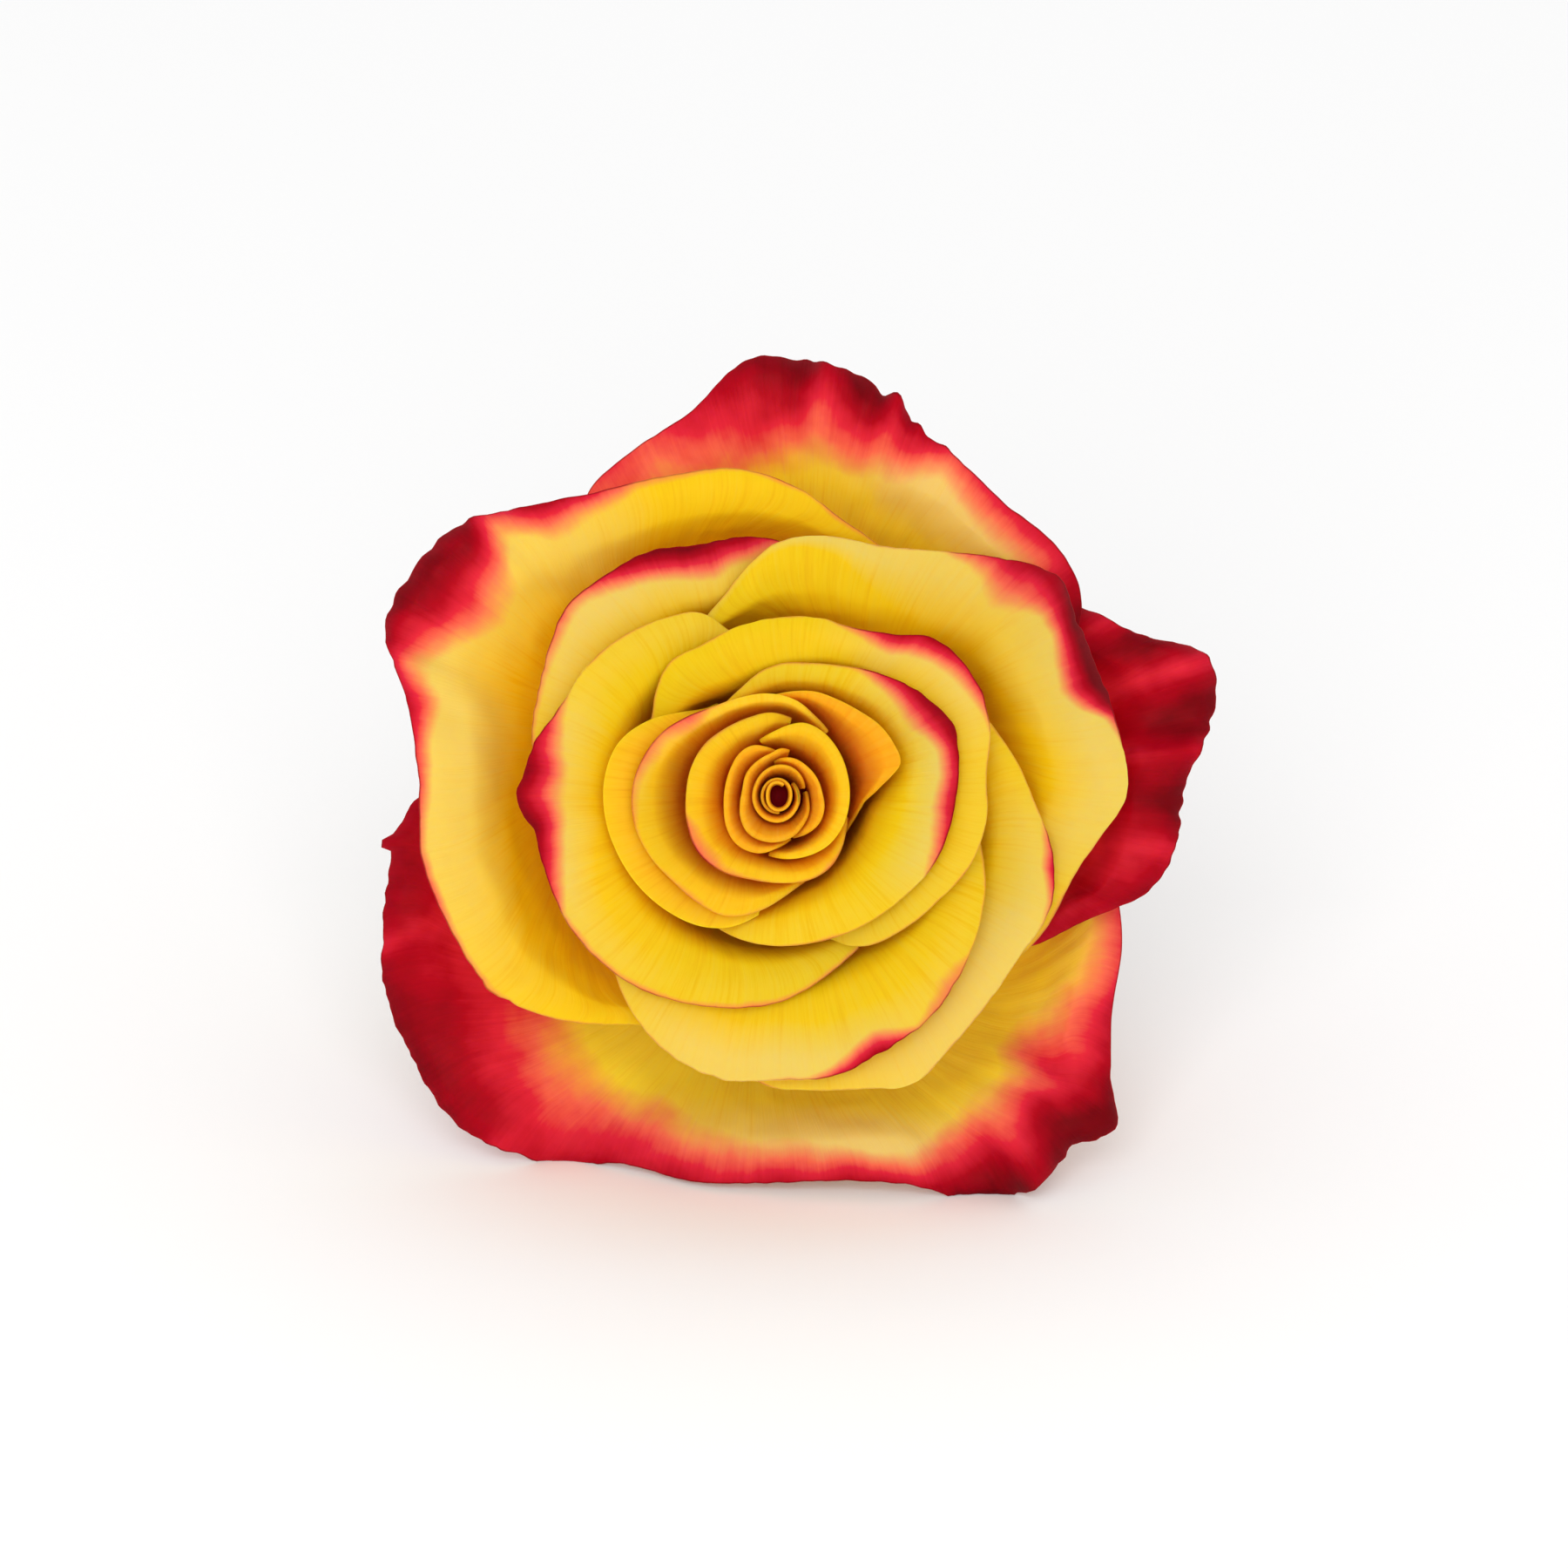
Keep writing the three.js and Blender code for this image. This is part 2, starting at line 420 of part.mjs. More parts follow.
// Stem: from under the hip to the surface, cut at a slant, with its prickles
function stemGeometry(length) {
  const [top, bottom] = [-hipHeight - seatGap, -length - 4];
  const path = new THREE.CubicBezierCurve3(
    new THREE.Vector3(0, 0, top),
    new THREE.Vector3(0, 0, mix(top, bottom, 0.33)),
    new THREE.Vector3(stemBow, 0, mix(top, bottom, 0.67)),
    new THREE.Vector3(0, 0, bottom),
  );
  const corners = Array.from({ length: stemSides }, (_, k) => (2 * Math.PI * k) / stemSides);
  const section = new THREE.Shape(
    corners.map((turn) => new THREE.Vector2(stemRadius * Math.cos(turn), stemRadius * Math.sin(turn))),
  );
  const rod = new THREE.ExtrudeGeometry(section, { steps: stemSteps, extrudePath: path, bevelEnabled: false });
  const thorns = prickles.map(({ along, azimuth }) => {
    const cone = new THREE.ConeGeometry(prickle.rootRadius, prickle.length + prickle.sink, prickle.sides);
    cone.translate(0, (prickle.length + prickle.sink) / 2 - prickle.sink, 0);
    cone.scale(prickle.flatness, 1, 1);
    cone.rotateX(toRadians(-prickle.lean));
    cone.rotateZ(-Math.PI / 2).translate(stemRadius, 0, 0);
    cone.rotateZ(toRadians(azimuth));
    const at = path.getPointAt(along);
    return cone.translate(at.x, at.y, at.z);
  });
  const slant = new THREE.BoxGeometry(40, 40, 40).translate(0, 0, -20);
  slant.rotateX(toRadians(-45)).translate(0, -stemRadius, -length);
  return geometryOf(solid(joined([rod, ...thorns])).subtract(solid(slant)));
}

function mesh(name, geometry, material) {
  const made = new THREE.Mesh(geometry, material);
  made.name = name;
  return made;
}

// The bloom's frame lies back so that its axis rises by faceTilt and its lower tips touch the surface.
const lying = new THREE.Group();
lying.rotation.x = toRadians(90 - faceTilt);
const whorls = [
  [guards, petalRed],
  [outerPetals, petalYellow],
  [middlePetals, petalYellow],
  [cupPetals, petalYellow],
  [innerPetals, petalOrange],
];
for (const [petals, material] of whorls)
  for (const [name, petal] of Object.entries(petals)) lying.add(mesh(name, petalShell(petal), material));
lying.add(mesh("heart_scroll", scrollGeometry(), petalOrange));
lying.add(mesh("calyx", calyxGeometry(), calyxGreen));

const rose = new THREE.Group();
rose.add(lying);
rose.updateMatrixWorld(true);
const surface = new THREE.Box3().setFromObject(rose, true).min.z;
const stemLength =
  (-surface - stemRadius * Math.cos(toRadians(faceTilt))) / Math.sin(toRadians(faceTilt));
lying.add(mesh("stem", stemGeometry(stemLength), stemGreen));

rose.updateMatrixWorld(true);
const outline = new THREE.Box3().setFromObject(rose, true);
const middle = outline.getCenter(new THREE.Vector3());
rose.position.set(-middle.x, -middle.y, -outline.min.z);

export default rose;
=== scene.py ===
import math

import bmesh
import bpy
import numpy as np
from mathutils import Matrix, Vector, noise


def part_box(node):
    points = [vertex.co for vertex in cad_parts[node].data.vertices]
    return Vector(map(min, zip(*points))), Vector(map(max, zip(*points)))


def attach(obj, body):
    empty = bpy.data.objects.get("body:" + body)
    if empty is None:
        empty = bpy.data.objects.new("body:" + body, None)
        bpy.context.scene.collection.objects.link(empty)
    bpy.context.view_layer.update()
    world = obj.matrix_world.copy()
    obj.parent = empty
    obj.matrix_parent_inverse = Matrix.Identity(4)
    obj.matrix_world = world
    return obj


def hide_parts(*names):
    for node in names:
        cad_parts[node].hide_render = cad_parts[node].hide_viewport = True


# A cut rose, fully open, lying on a pale surface. Petals are drawn in millimetres in the bloom's own
# frame: Z is the bloom's axis, and an azimuth is in degrees, counter-clockwise for an eye that looks
# into the bloom. The finished meshes are in metres, in the frame's place.
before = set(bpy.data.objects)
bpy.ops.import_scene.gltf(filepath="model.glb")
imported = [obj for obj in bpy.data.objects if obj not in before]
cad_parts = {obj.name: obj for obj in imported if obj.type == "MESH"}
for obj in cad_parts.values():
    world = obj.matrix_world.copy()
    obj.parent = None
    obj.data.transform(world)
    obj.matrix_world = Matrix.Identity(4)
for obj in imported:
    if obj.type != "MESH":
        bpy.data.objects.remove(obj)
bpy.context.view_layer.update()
print("frame:", len(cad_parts), "nodes")

bloom = {
    "faceTilt": 24,  # how far the bloom's axis rises from the surface, degrees
    "hipHeight": 13.5,
    "cadThickness": 0.6,  # of the frame's petals
    "thickness": 0.42,  # of the petals made here
    "clawHalf": 22,  # half-width of a petal at its foot, degrees
    "spread": 2.2,  # how soon a petal widens above its foot
    "crown": 0.4,  # how far a lip rises between its shelf and its rim
}


def claw(ring):
    return (8.6 - ring * 0.95, 0.2 + ring * 0.5)


# Values along a table of [azimuth, value, ...] rows, on a smooth curve through them
def smoothTable(table, azimuth):
    table = np.array(table, float)
    places = table[:, 0]
    values = table[:, 1:]
    before = np.vstack([table[:1], table[:-1]])
    after = np.vstack([table[1:], table[-1:]])
    slopes = (after[:, 1:] - before[:, 1:]) / (after[:, :1] - before[:, :1])
    i = np.clip(np.searchsorted(places, azimuth, side="right") - 1, 0, len(places) - 2)
    span = places[i + 1] - places[i]
    t = np.clip((azimuth - places[i]) / span, 0, 1)[..., None]
    a = values[i]
    b = values[i + 1]
    slopeA = slopes[i] * span[..., None]
    slopeB = slopes[i + 1] * span[..., None]
    bend = (2 * a - 2 * b + slopeA + slopeB) * t + (3 * b - 3 * a - 2 * slopeA - slopeB)
    return bend * t * t + slopeA * t + a


# The same on straight lines, which never overshoot
def plainTable(table, azimuth, column=1):
    table = np.array(table, float)
    return np.interp(azimuth, table[:, 0], table[:, column])


# A radius and height that hold all round, or a table of them
def pairAt(value, azimuth):
    if np.ndim(value) == 1:
        return np.broadcast_to(np.array(value, float), (*azimuth.shape, 2))
    return smoothTable(value, azimuth)


# Radius and height of a petal at an azimuth, s from 0 at its foot to 1 at its rim. The blade climbs a
# steep wall, bends over at its shelf and ends in a nearly flat lip.
def alongBlade(petal, azimuth, s):
    rim = smoothTable(petal["rim"], azimuth)
    wall = pairAt(petal["wall"], azimuth)
    shelf = rim + (wall - rim) * [petal["lipShare"], 0] - [0, petal["lipDrop"]]
    lip = (shelf + rim) / 2 + [0, bloom["crown"]]
    bends = [pairAt(petal["swell"], azimuth), wall, shelf, lip]
    starts = [pairAt(petal["claw"], azimuth)] + [(a + b) / 2 for a, b in zip(bends, bends[1:])]
    ends = starts[1:] + [rim]
    leg = np.clip((s * 4).astype(int), 0, 3)[..., None]
    t = s[..., None] * 4 - leg
    start, bend, end = (np.choose(leg, points) for points in (starts, bends, ends))
    return start * (1 - t) ** 2 + 2 * bend * t * (1 - t) + end * t**2


def inBloom(azimuth, radiusHeight):
    turn = np.radians(azimuth)
    radius = radiusHeight[..., 0]
    return np.stack([radius * np.cos(turn), radius * np.sin(turn), radiusHeight[..., 1]], -1)


# Azimuths of a petal's grid, columns by rows: it widens from its foot to its rim
def bladeAzimuths(petal, share, s):
    first = petal["rim"][0][0]
    last = petal["rim"][-1][0]
    rimHalf = (last - first) / 2
    clawHalf = min(petal.get("clawHalf", bloom["clawHalf"]), rimHalf)
    half = rimHalf + (clawHalf - rimHalf) * (1 - s) ** petal.get("spread", bloom["spread"])
    return (first + last) / 2 + share[:, None] * half[None, :]


# Unit normals of a grid, on the side that faces the bloom's axis
def gridNormals(points):
    across = np.gradient(points, axis=0)
    along = np.gradient(points, axis=1)
    normals = np.cross(along, across)
    return normals / np.maximum(np.linalg.norm(normals, axis=-1, keepdims=True), 1e-9)


# Lengths in mm from each point to the last row, from the first row, and from both side columns
def gridLengths(points):
    steps = np.linalg.norm(np.diff(points, axis=1), axis=-1)
    fromFoot = np.zeros(points.shape[:2])
    fromFoot[:, 1:] = np.cumsum(steps, axis=1)
    steps = np.linalg.norm(np.diff(points, axis=0), axis=-1)
    fromFirst = np.zeros(points.shape[:2])
    fromFirst[1:] = np.cumsum(steps, axis=0)
    return {
        "rim": fromFoot[:, -1:] - fromFoot,
        "foot": fromFoot,
        "first": fromFirst,
        "last": fromFirst[-1:] - fromFirst,
    }


# Smooth noise, seldom beyond -0.5 to 0.5, at points in mm, with bumps of about the given size. Each
# seed moves it to another part of the noise.
def noiseAt(points, size, seed):
    flat = (points / size + seed * 17.3).reshape(-1, 3).tolist()
    return np.array([noise.noise(p) for p in flat]).reshape(points.shape[:-1])


def fade(length, reach):
    return np.clip(1 - length / reach, 0, 1) ** 2


tilt = np.array(Matrix.Rotation(math.radians(90 - bloom["faceTilt"]), 3, "X"))


# The bloom's own origin in the frame, in mm: a petal drawn as the frame's solid is, against its box
def findOrigin(node, petal, rows=8, step=1e-4):
    azimuths = np.array([point[0] for point in petal["rim"]], float)
    middle = (azimuths[0] + azimuths[-1]) / 2
    s = np.sin(np.arange(rows + 1) / rows * math.pi / 2)
    azimuth = bladeAzimuths(petal, (azimuths - middle) / (azimuths[-1] - middle), s)
    s = np.broadcast_to(s, azimuth.shape)
    at = alongBlade(petal, azimuth, s)
    along = alongBlade(petal, azimuth, s + step) - alongBlade(petal, azimuth, s - step)
    along /= np.linalg.norm(along, axis=-1, keepdims=True)
    off = np.stack([-along[..., 1], along[..., 0]], -1) * bloom["cadThickness"] / 2
    faces = np.concatenate([inBloom(azimuth, at + off), inBloom(azimuth, at - off)]).reshape(-1, 3)
    return np.array(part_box(node)[0]) * 1000 - (faces @ tilt.T).min(axis=0)


def hexColour(code, alpha=1):
    channels = [int(code[i : i + 2], 16) / 255 for i in (1, 3, 5)]
    return (*[c / 12.92 if c <= 0.04045 else ((c + 0.055) / 1.055) ** 2.4 for c in channels], alpha)


# Adds a node with its settings, and with links or values for its inputs. A node given as an input
# stands for its first output. A colour ramp's stops are rows of a place, a hex colour and, where it
# isn't 1, an alpha.
def addNode(tree, kind, settings=None, inputs=None, stops=None):
    node = tree.nodes.new(kind)
    node.location = (len(tree.nodes) * 190, 0)
    for key, value in (settings or {}).items():
        setattr(node, key, value)
    for key, value in (inputs or {}).items():
        if isinstance(value, bpy.types.Node):
            value = value.outputs[0]
        if isinstance(value, bpy.types.NodeSocket):
            tree.links.new(value, node.inputs[key])
        else:
            node.inputs[key].default_value = value
    if stops:
        ramp = node.color_ramp
        while len(ramp.elements) < len(stops):
            ramp.elements.new(1)
        for element, (place, *colour) in zip(ramp.elements, stops):
            element.position = place
            element.color = hexColour(*colour)
    return node


def newMaterial(name):
    material = bpy.data.materials.new(name)
    material.use_nodes = True
    material.node_tree.nodes.clear()
    return material, material.node_tree


# A rose petal: living cells full of coloured sap under a fine waxy skin, so it is satiny and lets
# some light through. Red sap gathers towards the rim in streaks that follow the veins.
petalFinish = {
    "streakWidth": 0.55,  # mm across, drawn about twice as wide as real veins so that they show
    "streakLength": 13,
    "streakStrength": 0.32,  # how ragged the red is along the veins
    "mottleSize": 7,
    "mottleStrength": 1.25,  # how cloudy the red is between them
    "redRange": (-0.6, 2.4),  # where in the blush red starts, and where it is darkest
    "veinColour": "#E2A860",
    "veinTint": 0.2,
    "veinDepth": 0.09,
    "paleStrength": 0.5,  # how ragged the pale lip is
    "backShare": 0.7,  # how much of its own colour the back shows
    "edgeShadeWidth": 0.3,
    "roughness": (0.44, 0.6),
    "specular": 0.06,
    "glowReach": 2.2,  # how far red light spreads inside, mm
    "glowShares": (1.0, 0.62, 0.1),  # of that reach, for red, green and blue
}


# A field of the petal with its edge made ragged by a texture
def raggedField(tree, field, texture, strength, clamp=False):
    swing = addNode(tree, "ShaderNodeMath", {"operation": "SUBTRACT"}, {0: texture, 1: 0.5})
    return addNode(tree, "ShaderNodeMath", {"operation": "MULTIPLY_ADD", "use_clamp": clamp}, {
        0: swing, 1: strength, 2: field,
    })


def petalMaterial(name, lip, bowl, foot, cream, reverse, deepest, glow, coral, crimson, deep, maroon):
    material, tree = newMaterial(name)
    finish = petalFinish
    blade, blush, pale, back, fromRim = (
        addNode(tree, "ShaderNodeAttribute", {"attribute_name": key}).outputs
        for key in ("blade", "blush", "pale", "back", "fromRim")
    )
    streak = addNode(tree, "ShaderNodeTexNoise", None, {
        "Vector": addNode(tree, "ShaderNodeMapping", None, {
            "Vector": blade["Vector"],
            "Scale": (1 / finish["streakWidth"], 1 / finish["streakLength"], 1),
        }),
        "Scale": 1, "Detail": 4, "Roughness": 0.65,
    })
    mottle = addNode(tree, "ShaderNodeTexNoise", None, {
        "Vector": addNode(tree, "ShaderNodeTexCoord").outputs["Object"],
        "Scale": 1000 / finish["mottleSize"], "Detail": 4,
    })

    # Yellow, from the lip down to the foot. The petal's own yellow deepens towards the foot, and the
    # ramp also holds painted light and shade: bowl and foot are made brighter than the lip, to lift the
    # shade between the petals, and more orange, as that shade is.
    depth = addNode(tree, "ShaderNodeMapRange", None, {
        "Value": fromRim["Fac"], "From Min": 0, "From Max": deepest,
    })
    yellow = addNode(tree, "ShaderNodeValToRGB", None, {"Fac": depth}, [
        (0.0, lip), (0.4, bowl), (1.0, foot),
    ])
    veins = addNode(tree, "ShaderNodeValToRGB", None, {"Fac": streak}, [
        (0.32, finish["veinColour"]), (0.5, "#FFFFFF"),
    ])
    veined = addNode(tree, "ShaderNodeMix", {"data_type": "RGBA", "blend_type": "MULTIPLY"}, {
        0: finish["veinTint"], 6: yellow, 7: veins,
    })
    creamy = addNode(tree, "ShaderNodeMix", {"data_type": "RGBA"}, {
        0: raggedField(tree, pale["Fac"], streak, finish["paleStrength"], clamp=True),
        6: veined.outputs[2], 7: hexColour(cream),
    })
    turned = addNode(tree, "ShaderNodeMix", {"data_type": "RGBA"}, {
        0: addNode(tree, "ShaderNodeMath", {"operation": "MULTIPLY"}, {
            0: back["Fac"], 1: finish["backShare"],
        }),
        6: creamy.outputs[2], 7: hexColour(reverse),
    })

    # Red, by how far a point is inside the blush
    ragged = raggedField(tree, blush["Fac"], streak, finish["streakStrength"])
    cloudy = raggedField(tree, ragged, mottle, finish["mottleStrength"])
    share = addNode(tree, "ShaderNodeMapRange", None, {
        "Value": cloudy, "From Min": finish["redRange"][0], "From Max": finish["redRange"][1],
    })
    red = addNode(tree, "ShaderNodeValToRGB", None, {"Fac": share}, [
        (0.08, coral, 0), (0.24, coral, 0.55), (0.38, coral),
        (0.52, crimson), (0.72, deep), (0.96, maroon),
    ])
    reddened = addNode(tree, "ShaderNodeMix", {"data_type": "RGBA"}, {
        0: red.outputs["Alpha"], 6: turned.outputs[2], 7: red,
    })

    # A dark line at the red rim: painted shade where the rim rolls under
    atEdge = addNode(tree, "ShaderNodeMapRange", None, {
        "Value": fromRim["Fac"], "From Min": finish["edgeShadeWidth"],
        "From Max": finish["edgeShadeWidth"] * 0.4,
    })
    edged = addNode(tree, "ShaderNodeMix", {"data_type": "RGBA"}, {
        0: addNode(tree, "ShaderNodeMath", {"operation": "MULTIPLY"}, {
            0: atEdge, 1: red.outputs["Alpha"],
        }),
        6: reddened.outputs[2], 7: hexColour(maroon),
    })

    relief = addNode(tree, "ShaderNodeBump", None, {
        "Strength": 0.6, "Distance": finish["veinDepth"] / 1000, "Height": streak,
    })
    rough = addNode(tree, "ShaderNodeMapRange", None, {
        "Value": mottle, "To Min": finish["roughness"][0], "To Max": finish["roughness"][1],
    })
    skin = addNode(tree, "ShaderNodeBsdfPrincipled", None, {
        "Base Color": edged.outputs[2],
        "Roughness": rough,
        "IOR": 1.4,
        "Specular IOR Level": finish["specular"],
        "Subsurface Weight": glow,
        "Subsurface Radius": finish["glowShares"],
        "Subsurface Scale": finish["glowReach"] / 1000,
        "Normal": relief,
    })
    addNode(tree, "ShaderNodeOutputMaterial", None, {"Surface": skin})
    return material


redSap = {"coral": "#E6624C", "crimson": "#CC2038", "deep": "#9C0218", "maroon": "#66020C"}
# Lip, bowl and foot colours below are the petals' own yellow to orange, and partly painted light and shade:
# bowls and feet are brighter than lips to lift the shade between the petals, and the heart's feet are
# orange as that shade is.
yellowPetal = petalMaterial(
    "satin yellow rose petal with red sap at its rim",
    lip="#E4B811", bowl="#F2BA0A", foot="#FCB01A", cream="#DBBB5B", reverse="#ECC456",
    deepest=30, glow=0.75, **redSap,
)
guardPetal = petalMaterial(
    "velvet crimson rose petal with an ochre bowl",
    lip="#E2B44A", bowl="#F8CC30", foot="#F4C43A", cream="#DCBA70", reverse="#CC944E",
    deepest=30, glow=0.7, **redSap,
)
heartPetal = petalMaterial(
    "satin orange-yellow rose petal",
    lip="#EEB418", bowl="#FBA814", foot="#FC8E1C", cream="#ECBA5C", reverse="#FAAE28",
    deepest=9, glow=0.95, **redSap,
)
scrollPetal = petalMaterial(
    "satin deep orange rose petal, rolled tight",
    lip="#EC9E18", bowl="#F89A18", foot="#FA8A20", cream="#ECBA5C", reverse="#F8A424",
    deepest=6, glow=0.9, **redSap,
)
print("petal materials made")


# One sheet with thickness: its front and back meet in a rounded edge all round
def sheetParts(middle, half, fields):
    columns, rows = middle.shape[:2]
    normals = gridNormals(middle)
    front = middle + normals * half[..., None]
    back = middle - normals * half[..., None]
    inside = (slice(1, -1), slice(1, -1))
    index = np.arange(columns * rows).reshape(columns, rows)
    backIndex = index.copy()
    backIndex[inside] = np.arange((columns - 2) * (rows - 2)).reshape(columns - 2, rows - 2) + index.size

    def quads(ids):
        corners = [ids[:-1, :-1], ids[:-1, 1:], ids[1:, 1:], ids[1:, :-1]]
        return np.stack(corners, -1).reshape(-1, 4)

    isBack = np.zeros(middle.shape[:2])
    isBack[[0, -1]] = 0.5
    isBack[:, [0, -1]] = 0.5
    values = {"back": np.concatenate([isBack.ravel(), np.ones((columns - 2) * (rows - 2))])}
    for name, field in fields.items():
        shape = (-1, 3) if field.ndim == 3 else (-1,)
        values[name] = np.concatenate([field.reshape(shape), field[inside].reshape(shape)])
    return {
        "vertices": np.concatenate([front.reshape(-1, 3), back[inside].reshape(-1, 3)]),
        "faces": np.concatenate([quads(index), quads(backIndex)[:, ::-1]]).tolist(),
        "values": values,
    }


def roundedHalf(thickness, *distances):
    near = np.minimum.reduce(distances) / (thickness / 2)
    return thickness / 2 * np.sqrt(np.clip(1 - (1 - np.clip(near, 0, 1)) ** 2, 0, 1))


def newObject(name, data):
    made = bpy.data.objects.new(name, data)
    bpy.context.collection.objects.link(made)
    return made


# A number or a vector for each vertex, which materials and trees read by its name
def setField(mesh, key, values):
    kind, slot = ("FLOAT_VECTOR", "vector") if values.ndim == 2 else ("FLOAT", "value")
    mesh.attributes.new(key, kind, "POINT").data.foreach_set(slot, values.ravel())


# One mesh object, in the frame's place, from one or more parts in bloom millimetres
def meshObject(name, parts, material):
    vertices = np.concatenate([part["vertices"] for part in parts])
    starts = np.cumsum([0] + [len(part["vertices"]) for part in parts[:-1]]).tolist()
    faces = [[start + k for k in face] for part, start in zip(parts, starts) for face in part["faces"]]
    mesh = bpy.data.meshes.new(name)
    mesh.from_pydata(((vertices @ tilt.T + bloomOrigin) / 1000).tolist(), [], faces)
    for key in parts[0]["values"]:
        setField(mesh, key, np.concatenate([part["values"][key] for part in parts]))
    mesh.shade_smooth()
    mesh.materials.append(material)
    return newObject(name, mesh)


# Columns spread evenly over the petal, with a few close to each side for the rounded edge
def evenShares(columns, width, nearEdge=(0.03, 0.09, 0.18, 0.32)):
    inner = np.linspace(-1, 1, columns)
    close = np.array(nearEdge) / width * 2
    return np.unique(np.concatenate([inner, -1 + close, 1 - close]))


# The smaller forms that petals share, in mm. A petal's own value comes first.
petalForm = {
    "columns": 160, "rows": 52,
    "thickness": bloom["thickness"],
    "firmFoot": 18,  # dents and pleats reach their full height this far from the foot
    "dent": (0.35, 11),  # height and size
    "pleats": 0.08, "pleatPitch": 2.3, "pleatLength": 18,
    "curl": [[0, 0.7]], "curlReach": 2.4,
    "jagPitch": 1.5, "jagReach": 2.5,
    "foldScale": 1.5,  # height of a fold for each mm in its row
    "foldPaintedLight": 0.6,  # painted light and shade: blush lightened on a fold's ridge, deepened in its valley
    "deepestBlush": 2.2,
    "paleFade": 1.6,  # the higher, the more of a pale lip is as pale as its row says
}


# A petal's parts: the blade of its tables, with dents, folds, ruffles and a curled rim
def petalParts(petal, seed):
    petal = {**petalForm, **petal}
    rows = petal["rows"]
    s = np.sin(np.arange(rows + 1) / rows * math.pi / 2)
    width = math.radians(petal["rim"][-1][0] - petal["rim"][0][0]) * max(at[1] for at in petal["rim"])
    share = evenShares(petal["columns"], width)
    azimuth = bladeAzimuths(petal, share, s)
    points = inBloom(azimuth, alongBlade(petal, azimuth, np.broadcast_to(s, azimuth.shape)))
    lengths = gridLengths(points)
    fromRim = lengths["rim"]
    alongRim = np.broadcast_to(lengths["first"][:, -1:], azimuth.shape)

    # Noise on the unrolled petal, with a pitch along the rim and a length towards the foot
    def waves(pitch, length, waveSeed):
        return noiseAt(np.stack([alongRim / pitch, fromRim / length, 0 * fromRim], -1), 1, waveSeed)

    normals = gridNormals(points)
    risen = np.clip(lengths["foot"] / petal["firmFoot"], 0, 1) ** 2
    dentHeight, dentSize = petal["dent"]
    lift = dentHeight * risen * noiseAt(points, dentSize, seed)
    lift += 0.3 * dentHeight * risen * noiseAt(points, dentSize / 3, seed + 0.5)
    lift += petal["pleats"] * risen * waves(petal["pleatPitch"], petal["pleatLength"], seed + 7)
    crease = np.zeros(azimuth.shape)
    for foldAzimuth, halfWidth, height, foldReach, lean in petal.get("folds", ()):
        across = (azimuth - foldAzimuth - lean * fromRim) / halfWidth
        crease += height * np.exp(-(across**2)) * np.sqrt(fade(fromRim, foldReach))
    lift += crease * petal["foldScale"]
    if "ruffle" in petal:
        ruffle = petal["ruffle"]
        strength = plainTable(ruffle["height"], azimuth) * fade(fromRim, ruffle["reach"])
        lift += strength * 2 * waves(ruffle["pitch"], 3 * ruffle["pitch"], seed + 3)
    points = points + normals * lift[..., None]
    points[..., 2] -= plainTable(petal["curl"], azimuth) * fade(fromRim, petal["curlReach"])
    if "jag" in petal:
        depth = plainTable(petal["jag"], azimuth) * fade(fromRim, petal["jagReach"])
        out = depth * waves(petal["jagPitch"], math.inf, seed + 5)
        points[..., :2] *= (1 + out / np.linalg.norm(points[..., :2], axis=-1))[..., None]

    # What rests on the surface lies flat on it, its middle a little over half its thickness up
    under = bloom["thickness"] * 0.55 - bloomOrigin[2] - points @ tilt[2]
    points = points + np.maximum(under, 0)[..., None] * tilt[2]

    blush = np.full(azimuth.shape, -1.0)
    if "blush" in petal:
        width, soft = (plainTable(petal["blush"], azimuth, column) for column in (1, 2))
        # Painted light and shade on folds: less red on a ridge, more red in a valley
        inside = (width - fromRim) / soft - petal["foldPaintedLight"] * crease
        blush = np.clip(inside, -1, petal["deepestBlush"])
    pale = np.zeros(azimuth.shape)
    if "pale" in petal:
        width, strength = (plainTable(petal["pale"], azimuth, column) for column in (1, 2))
        pale = strength * np.clip(petal["paleFade"] * (1 - fromRim / width), 0, 1)
    half = roundedHalf(petal["thickness"], *gridLengths(points).values())
    ownStreaks = np.full(azimuth.shape, seed * 3.7)  # so no two petals are streaked alike
    return sheetParts(points, half, {
        "fromRim": fromRim,
        "blush": blush,
        "pale": pale,
        "blade": np.stack([alongRim, fromRim, ownStreaks], -1),
    })


